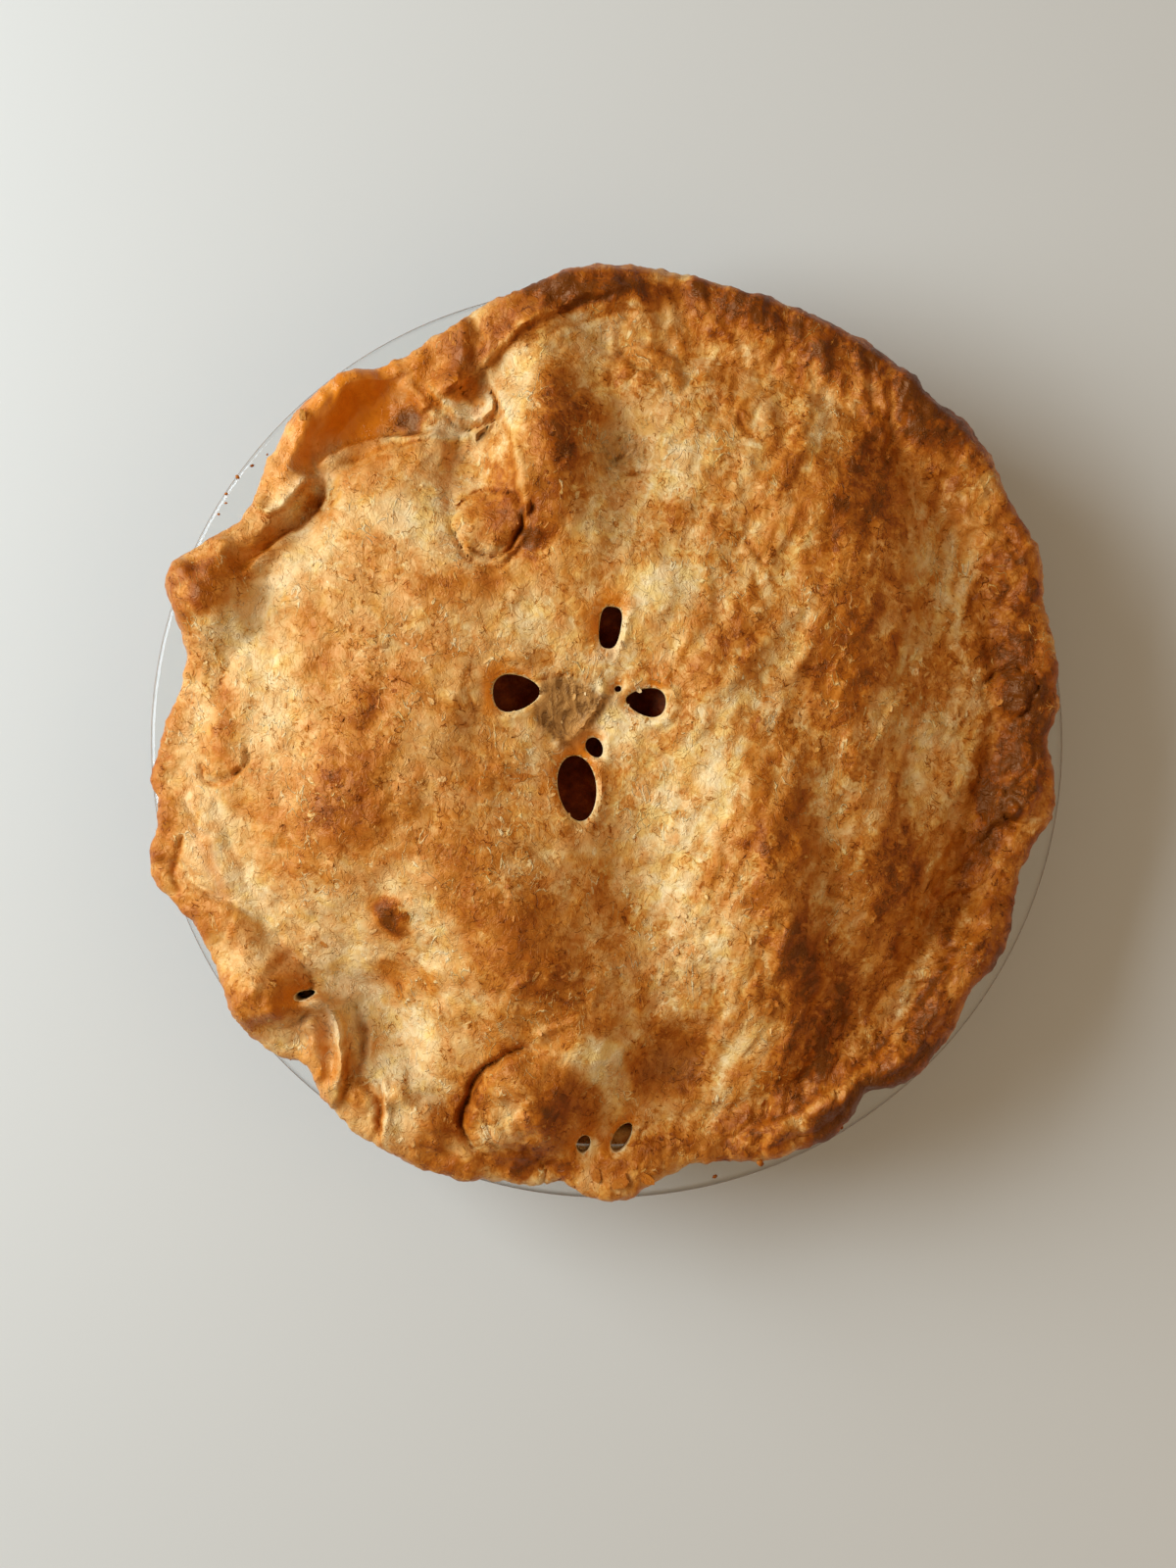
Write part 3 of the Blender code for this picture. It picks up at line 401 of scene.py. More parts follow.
BASE_BROWNING = 0.380
EDGE_BROWNING = 0.07
BLISTER_BROWNING = 0.15
RELIEF_BROWNING = 110.0
MOUND_BROWNING = 11.0


# ---------------------------------------------------------------- small tools
def smoothstep(low, high, value):
    share = np.clip((value - low) / (high - low), 0.0, 1.0)
    return share * share * (3.0 - 2.0 * share)


def hump(value, middle, width):
    """1 where the value is at the middle, falling off smoothly to both sides."""
    return np.exp(-(((value - middle) / width) ** 2))


def faded(reach, share):
    """1 along a line, falling to 0 over a share of it at either end."""
    return smoothstep(0.0, share, reach) * smoothstep(1.0, 1.0 - share, reach)


def lattice_noise(x, y, seed):
    """Smooth gradient noise on a unit lattice, about -0.7 to 0.7."""
    rng = np.random.default_rng(seed)
    order = rng.permutation(256)
    turns = rng.uniform(0.0, 2.0 * np.pi, 256)
    column, row = np.floor(x).astype(int), np.floor(y).astype(int)
    u, v = x - column, y - row
    ease_u, ease_v = u * u * u * (u * (u * 6 - 15) + 10), v * v * v * (v * (v * 6 - 15) + 10)

    def corner(i, j):
        turn = turns[order[(order[(column + i) % 256] + row + j) % 256]]
        return np.cos(turn) * (u - i) + np.sin(turn) * (v - j)

    low = corner(0, 0) * (1 - ease_u) + corner(1, 0) * ease_u
    high = corner(0, 1) * (1 - ease_u) + corner(1, 1) * ease_u
    return low * (1 - ease_v) + high * ease_v


def layered(x, y, size, octaves, seed, gain=0.5):
    """Several octaves of noise, the largest as wide as size."""
    total = np.zeros_like(x)
    for i in range(octaves):
        total += gain**i * lattice_noise(x / size * 2**i + 17.3 * i, y / size * 2**i - 9.1 * i, seed + i)
    return total


def ridged(x, y, size, octaves, seed):
    """Sharp-crested folds, 0 to 1, from noise turned over at zero."""
    total = np.zeros_like(x)
    for i in range(octaves):
        layer = lattice_noise(x / size * 2**i + 5.7 * i, y / size * 2**i + 3.3 * i, seed + i)
        total += 0.5**i * (1.0 - np.minimum(np.abs(layer) * 2.6, 1.0))
    return total / 2.0


def turned_axes(x, y, place, turn):
    """Coordinates along and across a direction, from a place."""
    angle = math.radians(turn)
    east, north = x - place[0], y - place[1]
    along = east * math.cos(angle) + north * math.sin(angle)
    return along, north * math.cos(angle) - east * math.sin(angle)


def oval(x, y, item):
    """1 at an oval's middle, falling off smoothly to its length and width and beyond."""
    along, across = turned_axes(x, y, (item.x, item.y), item.turn)
    return np.exp(-((along / (item.length / 2)) ** 2 + (across / (item.width / 2)) ** 2))


def covered(x, y, patches):
    """The sum of a list of oval patches, each as strong as its amount."""
    return sum(patch.amount * oval(x, y, patch) for patch in patches)


def blot(x, y, item):
    """As an oval, but level over most of its middle and with a quicker edge."""
    along, across = turned_axes(x, y, (item.x, item.y), item.turn)
    return np.exp(-(((along / (item.length / 2)) ** 2 + (across / (item.width / 2)) ** 2) ** 1.7))


def with_lobes(base, lobes, angle):
    total = np.full_like(angle, base)
    for lobe in lobes:
        away = (np.degrees(angle) - lobe.angle + 180.0) % 360.0 - 180.0
        total += lobe.amount * hump(away, 0.0, lobe.spread)
    return total


def rounded(points):
    """The same open line with its corners cut, twice, so that it bends smoothly."""
    for _ in range(2):
        cut = [points[0]]
        for (x0, y0), (x1, y1) in zip(points, points[1:]):
            cut.append((0.75 * x0 + 0.25 * x1, 0.75 * y0 + 0.25 * y1))
            cut.append((0.25 * x0 + 0.75 * x1, 0.25 * y0 + 0.75 * y1))
        points = cut + [points[-1]]
    return points


def to_line(x, y, points):
    """Distance to a line of points, which side (left is positive), and how far along, 0 to 1."""
    nearest = np.full_like(x, np.inf)
    side = np.zeros_like(x)
    reach = np.zeros_like(x)
    stretches = len(points) - 1
    for i in range(stretches):
        (x0, y0), (x1, y1) = points[i], points[i + 1]
        run_x, run_y = x1 - x0, y1 - y0
        length = math.hypot(run_x, run_y)
        share = ((x - x0) * run_x + (y - y0) * run_y) / length**2
        held = np.clip(share, 0.0, 1.0)
        distance = np.hypot(x - x0 - held * run_x, y - y0 - held * run_y)
        left = (run_x * (y - y0) - run_y * (x - x0)) / length
        closer = distance < nearest
        side = np.where(closer, np.sign(left), side)
        reach = np.where(closer, (i + held) / stretches, reach)
        nearest = np.minimum(nearest, distance)
    return nearest, side, reach


def beside(x, y, points, reach):
    """Which places lie within reach of a line of points."""
    low, high = np.min(points, axis=0) - reach, np.max(points, axis=0) + reach
    return np.nonzero((x > low[0]) & (x < high[0]) & (y > low[1]) & (y < high[1]))[0]


def wavered(x, y, reach, size, seed):
    """The same places moved about a little, so that what is drawn on them has no clean outline."""
    return x + reach * layered(x, y, size, 3, seed), y + reach * layered(x, y, size, 3, seed + 7)


# ---------------------------------------------------------------- the lid's form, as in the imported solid
def outline_radius(angle):
    return with_lobes(CRUST_REACH, OUTLINE_LOBES, angle)


def seam_radius(angle):
    return with_lobes(SEAM_RADIUS, SEAM_LOBES, angle)


def dome_and_rim(x, y):
    radius, angle = np.hypot(x, y), np.arctan2(y, x)
    seam, outline = seam_radius(angle), outline_radius(angle)
    inside = np.clip(1.0 - (radius / seam) ** DOME_FULLNESS, 0.0, 1.0)
    dome = DOME_RISE * inside**DOME_SHOULDER
    across = np.clip((radius - seam) / (outline - seam), 0.0, 1.0)
    rim = with_lobes(RIM_RISE, RIM_LOBES, angle)
    rim *= smoothstep(0.0, RIM_CREST, across) * (1.0 - RIM_FALL * smoothstep(RIM_CREST, 1.0, across))
    return SEAM_HEIGHT + dome + rim


def blister_height(x, y, blister):
    """A dome, steep and creased round the part of its edge that faces one way and soft round the rest."""
    along, across = turned_axes(x, y, (blister.x, blister.y), blister.turn)
    share = np.hypot(along / (blister.length / 2), across / (blister.width / 2))
    facing = np.cos(np.arctan2(y - blister.y, x - blister.x) - math.radians(blister.facing))
    edge = math.cos(math.radians(blister.reach))
    steep = smoothstep(edge - 0.35, min(edge + 0.35, 1.0), facing)
    body = np.clip(1.0 - share**2, 0.0, 1.0)
    dome = blister.rise * (steep * body**0.5 + (1.0 - steep) * body**1.3)
    small = min(blister.length, blister.width) / 2
    crease = blister.crease * steep * hump((share - 1.02) * small, 0.0, CREASE_WIDTH)
    return dome - crease


def fold_height(x, y, fold):
    distance, side, reach = to_line(x, y, rounded(fold.points))
    facing = side * distance * np.sign(fold.rise)
    ledge = smoothstep(-FOLD_SLOPE / 2, FOLD_SLOPE / 2, facing)
    settle = np.exp(-np.maximum(facing, 0.0) / fold.back)
    return abs(fold.rise) * ledge * settle * faded(reach, FOLD_FADE)


def ridge_height(x, y, ridge):
    distance, side, reach = to_line(x, y, rounded(ridge.points))
    width = ridge.width * (1.0 + ridge.lean * side)
    return ridge.rise * faded(reach, LINE_FADE) * hump(distance, 0.0, width)


def crumple(x, y):
    heights = [noise.fractal(Vector((a, b, 0.0)) / CRUMPLE_SIZE, 1.0, 2.0, 3) for a, b in zip(x, y)]
    return CRUMPLE * np.array(heights)


def soft_top(x, y):
    height = dome_and_rim(x, y)
    for mound in MOUNDS:
        height = height + mound.rise * oval(x, y, mound)
    return height


def lid_under(x, y):
    radius = np.hypot(x, y)
    inward = smoothstep(FILLING_RADIUS, FILLING_RADIUS - ARCH_RUN, radius)
    arch = soft_top(x, y) - LID_THICKNESS - UNDERSIDE
    return UNDERSIDE + np.maximum(arch, 0.0) * inward


# ---------------------------------------------------------------- fine relief of the crust
def opening_share(x, y, opening):
    """1 on an opening's outline, less inside it and more outside."""
    along, across = turned_axes(x, y, (opening.x, opening.y), opening.turn)
    along = along / (opening.length / 2)
    across = across / (opening.width / 2 * (1.0 - opening.taper * np.clip(along, -1.2, 1.2)))
    return (np.abs(along) ** opening.square + np.abs(across) ** opening.square) ** (1 / opening.square)


def round_opening(x, y, opening):
    """Distance outwards from an opening's edge, and 1 on its side that stands up as a lip to 0 opposite."""
    away = (opening_share(x, y, opening) - 1.0) * min(opening.length, opening.width) / 2
    facing = np.cos(np.arctan2(y - opening.y, x - opening.x) - math.radians(LIT_SIDE))
    return away, smoothstep(-0.5, 0.6, facing)


def lips(x, y):
    """The pastry sinks into each opening on one side and stands up as a thin curled lip on the other."""
    total = np.zeros_like(x)
    for opening in OPENINGS:
        here = near(x, y, opening.x, opening.y, opening.length / 2 + 0.009)
        away, lit = round_opening(x[here], y[here], opening)
        reach = 0.0006 + 0.0016 * (1.0 - lit)
        total[here] -= (0.0009 + 0.0007 * (1.0 - lit)) * np.exp(-np.maximum(away, 0.0) / reach)
        total[here] += opening.lip * (0.5 + lit) * hump(away, 0.0014, 0.0007)
    return total


def creases(x, y):
    total = np.zeros_like(x)
    for crease in CREASES:
        here = beside(x, y, crease.points, 5 * crease.width)
        distance, _, reach = to_line(x[here], y[here], rounded(crease.points))
        banks = 0.4 * hump(distance, 2.2 * crease.width, crease.width)
        groove = banks - hump(distance, 0.0, crease.width)
        total[here] += crease.depth * faded(reach, LINE_FADE) * groove
    return total


def scattered(count, seed, smallest, largest, reach=0.114, crowds=0):
    """Seeded places all over the crust or in crowds, each with a size; small ones are the commonest."""
    rng = np.random.default_rng(seed)
    radius = reach * np.sqrt(rng.uniform(0.0, 1.0, count))
    angle = rng.uniform(-np.pi, np.pi, count)
    size = smallest + (largest - smallest) * rng.uniform(0.0, 1.0, count) ** 2.5
    turn = rng.uniform(0.0, 360.0, count)
    x, y = radius * np.cos(angle), radius * np.sin(angle)
    if crowds:
        crowd = rng.integers(0, crowds, count)
        x = x[crowd] + rng.normal(0.0, 0.0060, count)
        y = y[crowd] + rng.normal(0.0, 0.0045, count)
    return zip(x, y, size, turn)


def near(x, y, place_x, place_y, reach):
    return np.nonzero(np.hypot(x - place_x, y - place_y) < reach)[0]


def small_bubbles(x, y, count, seed, smallest, largest, rise, crowds=0):
    """Uneven little domes in the dough, with a crease on one side."""
    total = np.zeros_like(x)
    wobble = layered(x, y, 0.004, 2, seed + 50)
    for place_x, place_y, size, turn in scattered(count, seed, smallest, largest, crowds=crowds):
        touched = near(x, y, place_x, place_y, size * 2.2)
        along, across = turned_axes(x[touched], y[touched], (place_x, place_y), turn)
        share = np.hypot(along / size, across / (size * 0.75)) + 0.7 * wobble[touched]
        total[touched] += rise * size * np.sqrt(np.clip(1.0 - share**2, 0.0, 1.0))
        total[touched] -= 0.25 * rise * size * hump(share, 1.08, 0.16) * (along < 0.3 * size)
    return total


def burst_bubbles(x, y, count, seed):
    """Bubbles that broke: a ragged ring with a hollow in it."""
    total = np.zeros_like(x)
    wobble = layered(x, y, 0.003, 2, seed + 60)
    for place_x, place_y, size, turn in scattered(count, seed, 0.0010, 0.0028, 0.100):
        touched = near(x, y, place_x, place_y, size * 2.2)
        along, across = turned_axes(x[touched], y[touched], (place_x, place_y), turn)
        share = np.hypot(along / size, across / (size * 0.8)) + 1.3 * wobble[touched]
        ring = hump(share, 1.0, 0.22) * (0.6 + 0.4 * along / size)
        total[touched] += 0.0003 * ring - 0.0004 * smoothstep(0.85, 0.4, share)
    return total


def flakes(x, y):
    """Layers of dough that lifted: small steps with ragged edges, more in some places than others."""
    warp = 0.0035
    bent_x = x + warp * layered(x, y, 0.009, 3, 31)
    bent_y = y + warp * layered(x, y, 0.009, 3, 37)
    field = 3.4 * (layered(bent_x, bent_y, 0.012, 5, 41, 0.62) + 1.0)
    step = np.floor(field) + smoothstep(0.84, 1.0, field - np.floor(field))
    weight = smoothstep(0.0, 0.4, layered(x, y, 0.030, 2, 43))
    return 0.00030 * (step - 0.6 * field) * weight


def strands(x, y):
    """Sharp-crested folds: long ones where the dough was stretched, wrinkles on the other half."""
    bent_x, bent_y = wavered(x, y, 0.0050, 0.014, 73)
    along, across = turned_axes(bent_x, bent_y, (0.0, 0.0), 70)
    folds = ridged(along / 4.0, across, 0.0100, 3, 71) - 0.5
    lumps = layered(along / 3.5, across, 0.0044, 3, 77, 0.6)
    stretched = smoothstep(-0.030, 0.050, x)
    along, across = turned_axes(bent_x, bent_y, (0.0, 0.0), -24)
    wrinkles = ridged(along / 3.0, across, 0.0090, 3, 79) - 0.5
    return (0.0015 * folds + 0.00050 * lumps) * stretched + 0.0007 * wrinkles * (1.0 - stretched)


def pits(x, y):
    total = np.zeros_like(x)
    for place_x, place_y, size, _ in scattered(150, 83, 0.0004, 0.0009, 0.112):
        touched = near(x, y, place_x, place_y, size * 3)
        away = np.hypot(x[touched] - place_x, y[touched] - place_y) / size
        total[touched] -= 0.9 * size * hump(away, 0.0, 1.0)
    return total


def rim_pinches(x, y):
    """Creases across the rim where it was pinched, at uneven steps and leaning either way."""
    x, y = wavered(x, y, 0.0050, 0.012, 101)
    radius, angle = np.hypot(x, y), np.degrees(np.arctan2(y, x))
    seam, outline = seam_radius(np.radians(angle)), outline_radius(np.radians(angle))
    across = (radius - seam) / (outline - seam)
    rng = np.random.default_rng(97)
    total = np.zeros_like(x)
    middle = -180.0
    while middle < 180.0:
        lean, width = rng.uniform(-18.0, 18.0), rng.uniform(0.5, 1.6)
        depth = 0.0013 * rng.uniform(0.0, 1.0) ** 1.6
        start, stop = rng.uniform(-0.3, 0.4), rng.uniform(0.6, 1.4)
        away = (angle - middle - lean * (across - 0.5) + 180.0) % 360.0 - 180.0
        held = smoothstep(start - 0.15, start + 0.15, across)
        held *= smoothstep(stop + 0.15, stop - 0.15, across)
        bank = 0.5 * hump(away, 2.2 * width, 1.6 * width)
        total += held * depth * (bank - hump(away, 0.0, width))
        middle += rng.uniform(2.0, 12.0)
    return total


def rim_lumps(x, y):
    """Lumps and steep little cracks between them, where the dough was rolled under by hand."""
    radius, angle = np.hypot(x, y), np.arctan2(y, x)
    seam = seam_radius(angle)
    bent_x, bent_y = wavered(x, y, 0.0050, 0.011, 103)
    round_x, round_y = RIM_MIDDLE * np.cos(angle), RIM_MIDDLE * np.sin(angle)
    outward = 0.6 * (radius - seam)
    lumps = layered(round_x + outward, round_y - outward, 0.017, 3, 13, 0.5)
    cracked = ridged(bent_x, bent_y, 0.013, 2, 105)
    rough = 0.35 + 0.65 * smoothstep(-0.060, 0.060, x)
    cracks = 0.0022 * rough * smoothstep(0.72, 0.92, cracked)
    knobs = 0.0024 * rough * (ridged(bent_x, bent_y, 0.0120, 3, 109) - 0.5)
    return (0.0026 * lumps + knobs - cracks) * smoothstep(seam - 0.002, seam + 0.006, radius)


def fine_relief(x, y):
    """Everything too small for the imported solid, except the creases and the lips."""
    lumps = 0.0007 * layered(x, y, 0.013, 2, 11) + 0.00028 * layered(x, y, 0.0045, 2, 17)
    bubbles = small_bubbles(x, y, 70, 3, 0.0012, 0.0040, 0.17)
    bubbles += small_bubbles(x, y, 20, 7, 0.004, 0.008, 0.11)
    bubbles += small_bubbles(x, y, 200, 19, 0.0011, 0.0026, 0.18, 26)
    worn = burst_bubbles(x, y, 50, 5) + pits(x, y)
    return lumps + rim_lumps(x, y) + bubbles + worn + flakes(x, y) + strands(x, y) + rim_pinches(x, y)


def lid_top(x, y):
    """Height of the lid's top, and the part of it that is fine relief."""
    bent_x, bent_y = wavered(x, y, *SLIGHT_WAVER)
    height = soft_top(bent_x, bent_y) + crumple(x, y)
    uneven_x, uneven_y = wavered(x, y, *BLISTER_WAVER)
    for blister in BLISTERS:
        low = abs(blister.rise) < LOW_BLISTER
        place_x, place_y = (uneven_x, uneven_y) if low else (bent_x, bent_y)
        here = beside(place_x, place_y, [(blister.x, blister.y)], max(blister.length, blister.width))
        height[here] += blister_height(place_x[here], place_y[here], blister)
    for fold in FOLDS:
        here = beside(bent_x, bent_y, fold.points, 5 * fold.back)
        height[here] += fold_height(bent_x[here], bent_y[here], fold)
    for ridge in RIDGES:
        here = beside(bent_x, bent_y, ridge.points, 4 * ridge.width)
        height[here] += ridge_height(bent_x[here], bent_y[here], ridge)
    relief = fine_relief(x, y) + creases(bent_x, bent_y)
    height = height + relief * (1.0 - 0.75 * soaked(x, y)) + lips(x, y)
    return np.clip(height, UNDERSIDE + LID_LEAST, LID_HIGH.z + HEADROOM), relief


def soaked(x, y):
    """1 in the trough that boiled-over syrup has filled and smoothed."""
    return np.clip(covered(x, y, CARAMEL_POOLS), 0.0, 1.0)


# ---------------------------------------------------------------- meshes
def new_mesh_object(name, bm, material, smooth=60):
    mesh = bpy.data.meshes.new(name)
    bm.to_mesh(mesh)
    bm.free()
    obj = bpy.data.objects.new(name, mesh)
    bpy.context.scene.collection.objects.link(obj)
    mesh.materials.append(material)
    mesh.shade_smooth()
    if smooth:
        mesh.set_sharp_from_angle(angle=math.radians(smooth))
    return obj


def ring_grid(rings):
    """A square grid of rings round the middle, and for each of its points the ring and the angle."""
    bm = bmesh.new()
    bmesh.ops.create_grid(bm, x_segments=2 * rings, y_segments=2 * rings, size=1.0)
    bm.verts.ensure_lookup_table()
    square = np.array([v.co[:2] for v in bm.verts])
    u, v = square[:, 0], square[:, 1]
    ring = np.rint(np.maximum(np.abs(u), np.abs(v)) * rings)
    wide = np.abs(u) >= np.abs(v)
    safe_u, safe_v = np.where(u == 0, 1.0, u), np.where(v == 0, 1.0, v)
    east_west = np.pi / 4 * v / safe_u + np.where(u < 0, np.pi, 0.0)
    north_south = np.pi / 2 - np.pi / 4 * u / safe_v + np.where(v < 0, np.pi, 0.0)
    angle = np.where(ring == 0, 0.0, np.where(wide, east_west, north_south))
    return bm, ring, np.arctan2(np.sin(angle), np.cos(angle))


def place(bm, x, y, z):
    for vert, a, b, c in zip(bm.verts, x, y, z):
        vert.co = (a, b, c)


def boundary_edges(bm):
    return [edge for edge in bm.edges if edge.is_boundary]


def paint(bm, name, values):
    layer = bm.verts.layers.float.get(name) or bm.verts.layers.float.new(name)
    bm.verts.ensure_lookup_table()
    for vert, value in zip(bm.verts, values):
        vert[layer] = value


def paint_pastry(bm, toast_and_shade, syrup, thin=0.0):
    """How baked (with painted shade and light mixed in), how soaked in syrup and how thin each place is;
    one number does for all places.
    """
    for name, value in (("toast_and_shade", toast_and_shade), ("syrup", syrup), ("thin", thin)):
        paint(bm, name, np.broadcast_to(value, len(bm.verts)))


def points_of(geometry):
    return [item for item in geometry if isinstance(item, bmesh.types.BMVert)]


def thickened(bm, faces, height):
    """Pulls flat faces up into a plate, and gives the points of its top."""
    top = points_of(bmesh.ops.extrude_face_region(bm, geom=faces)["geom"])
    bmesh.ops.translate(bm, vec=(0.0, 0.0, height), verts=top)
    return top


def mottling(x, y):
    """Uneven baking: broad clouds, blotches and, on the half where the dough was stretched, streaks."""
    bent_x, bent_y = wavered(x, y, 0.003, 0.010, 131)
    clouds = layered(bent_x, bent_y, 0.018, 3, 137, 0.55)
    blotches = layered(bent_x, bent_y, 0.0065, 3, 139, 0.6)
    along, across = turned_axes(bent_x, bent_y, (0.0, 0.0), STRETCHED)
    streaks = layered(along / 6.0, across, 0.0044, 3, 149, 0.6) * smoothstep(-0.020, 0.040, x)
    return 0.15 * clouds + 0.12 * blotches + 0.28 * streaks


def round_openings(x, y):
    """Painted light and shade round the openings: paler on the lit curled lips, darker as painted shade and
    stained with syrup where the crust sinks in on the side away from the light.
    """
    toast_and_shade, stain = np.zeros_like(x), np.zeros_like(x)
    for opening in OPENINGS:
        here = near(x, y, opening.x, opening.y, opening.length / 2 + 0.008)
        away, lit = round_opening(x[here], y[here], opening)
        outward = np.maximum(away, 0.0)
        # Painted highlight on the lit lip; painted shade on the side away from the light.
        lit_lip_highlight = 0.22 * lit * (opening.lip > 0)
        toast_and_shade[here] += (0.22 * (1.0 - lit) - lit_lip_highlight) * hump(outward, 0.0, 0.0015)
        stain[here] += 0.60 * (1.0 - lit) * hump(outward, 0.0, 0.0021)
    return toast_and_shade, stain


def browning_and_shade(x, y, relief):
    """How far each place has baked, 0 raw to 1 dark, with some painted shade: patches, blisters, lines,
    high places, the edge.
    """
    toast_and_shade = np.full_like(x, BASE_BROWNING)
    bent_x, bent_y = wavered(x, y, *SLIGHT_WAVER)
    spread_x = x + 0.0055 * layered(x, y, 0.013, 4, 101, 0.6)
    spread_y = y + 0.0055 * layered(x, y, 0.013, 4, 107, 0.6)
    for patch in BROWNING_AND_SHADE:
        toast_and_shade += patch.amount * blot(spread_x, spread_y, patch)
    uneven_x, uneven_y = wavered(x, y, *BLISTER_WAVER)
    for blister in BLISTERS:
        body = np.clip(blister_height(uneven_x, uneven_y, blister) / (0.5 * blister.rise), 0.0, 1.0)
        toast_and_shade += BLISTER_BROWNING * body * (blister.rise > 0.0011)
    # Painted shade: darker in each crease and at the foot of each fold, where shade falls; paler along each
    # fold's raised edge.
    for line, foot_shade, edge in [(c, 0.30, 0.0) for c in CREASES] + [(f, 0.22, -0.16) for f in FOLDS]:
        here = beside(x, y, line.points, 0.004)
        distance, side, reach = to_line(bent_x[here], bent_y[here], rounded(line.points))
        fade = faded(reach, FOLD_FADE)
        upward = side * distance * (np.sign(line.rise) if edge else 1.0)
        toast_and_shade[here] += foot_shade * fade * hump(upward, -0.0006 if edge else 0.0, 0.0007)
        toast_and_shade[here] += edge * fade * hump(upward, 0.0012, 0.0009)
    radius, angle = np.hypot(x, y), np.arctan2(y, x)
    toast_and_shade += EDGE_BROWNING * smoothstep(-0.006, 0.0, radius - outline_radius(angle) + 0.002)
    toast_and_shade += RELIEF_BROWNING * np.clip(relief, -0.0009, 0.0011)
    heaped = soft_top(spread_x, spread_y) - dome_and_rim(spread_x, spread_y)
    toast_and_shade += MOUND_BROWNING * np.clip(heaped, -0.005, 0.008)
    return toast_and_shade + mottling(x, y)


def lid_top_sheet():
    """The lid's top and rolled edge as one sheet, with what its pastry looks like at each place."""
    bm, ring, angle = ring_grid(TOP_RINGS)
    flat_rings = TOP_RINGS - EDGE_RINGS
    ragged = 0.0009 * layered(np.cos(angle), np.sin(angle), 0.12, 4, 61, 0.6)
    outline = outline_radius(angle) + ragged
    share = np.clip(ring / flat_rings, 0.0, 1.0)
    share = 1.0 - (1.0 - share) ** RING_CROWDING
    turn = np.pi * np.clip((ring - flat_rings) / EDGE_RINGS, 0.0, 1.0)
    radius = (outline - LIP) * share
    x, y = radius * np.cos(angle), radius * np.sin(angle)
    top, relief = lid_top(x, y)
    half = (top - UNDERSIDE) / 2
    height = np.where(turn > 0, UNDERSIDE + half * (1.0 + np.cos(turn)), top)
    bulge = 0.0010 * layered(40.0 * angle * 0.0028, height, 0.004, 3, 67)
    radius = radius + (LIP + bulge) * np.sin(turn)
    height = height - DROOP * smoothstep(DROOP_START, DROOP_START + DROOP_RUN, radius)
    x, y = radius * np.cos(angle), radius * np.sin(angle)
    place(bm, x, y, height)
    edge_toast_and_shade, edge_stain = round_openings(x, y)
    soaked_x, soaked_y = wavered(x, y, *SYRUP_WAVER)
    syrup = np.clip(edge_stain + covered(soaked_x, soaked_y, SYRUP), 0.0, 1.0)
    skin = smoothstep(1.10, 0.94, opening_share(soaked_x, soaked_y, MEMBRANE))
    thin = np.clip(skin + covered(soaked_x, soaked_y, THIN), 0.0, 1.0)
    paint_pastry(bm, browning_and_shade(x, y, relief) + edge_toast_and_shade, syrup, thin)
    golden = smoothstep(-0.070, 0.010, x + 0.030 * layered(x, y, 0.030, 2, 151))
    paint(bm, "gold", 0.07 * (golden - 0.45))
    return bm


def under_radii(ring, angle):
    outward = np.clip((ring - UNDER_FILLING_RINGS) / (UNDER_RINGS - UNDER_FILLING_RINGS), 0.0, 1.0)
    inner = FILLING_RADIUS * np.clip(ring / UNDER_FILLING_RINGS, 0.0, 1.0)
    return inner + outward * (outline_radius(angle) - LIP - UNDERSIDE_INSET - FILLING_RADIUS)


def lid_bmesh():
    """The top sheet and the underside, joined round the edge."""
    bm = lid_top_sheet()
    under, ring, angle = ring_grid(UNDER_RINGS)
    radius = under_radii(ring, angle)
    x, y = radius * np.cos(angle), radius * np.sin(angle)
    place(under, x, y, lid_under(x, y))
    paint_pastry(under, 0.35, 0.2)
    bmesh.ops.reverse_faces(under, faces=under.faces)
    sheet = bpy.data.meshes.new("under_sheet")
    under.to_mesh(sheet)
    under.free()
    bm.from_mesh(sheet)
    bpy.data.meshes.remove(sheet)
    bmesh.ops.bridge_loops(bm, edges=boundary_edges(bm))
    bmesh.ops.recalc_face_normals(bm, faces=bm.faces)
    return bm


def opening_cutter(opening, material):
    """A blade of the opening's outline, right through the lid."""
    bm = bmesh.new()
    bmesh.ops.create_circle(bm, cap_ends=True, segments=OPENING_SIDES, radius=1.0)
    for vert in bm.verts:
        angle = math.atan2(vert.co.y, vert.co.x)
        along = math.copysign(abs(math.cos(angle)) ** (2 / opening.square), math.cos(angle))
        across = math.copysign(abs(math.sin(angle)) ** (2 / opening.square), math.sin(angle))
        narrowed = opening.width / 2 * (1.0 - opening.taper * along)
        vert.co = (along * opening.length / 2, across * narrowed, 0.0)
    thickened(bm, bm.faces[:], CUTTER_HIGH - CUTTER_LOW)
    turn = Matrix.Rotation(math.radians(opening.turn), 3, "Z")
    bmesh.ops.rotate(bm, matrix=turn, verts=bm.verts)
    bmesh.ops.translate(bm, vec=(opening.x, opening.y, CUTTER_LOW), verts=bm.verts)
    bmesh.ops.recalc_face_normals(bm, faces=bm.faces)
    paint_pastry(bm, 0.55, 0.75)
    return new_mesh_object("cutter_" + opening.name, bm, material)


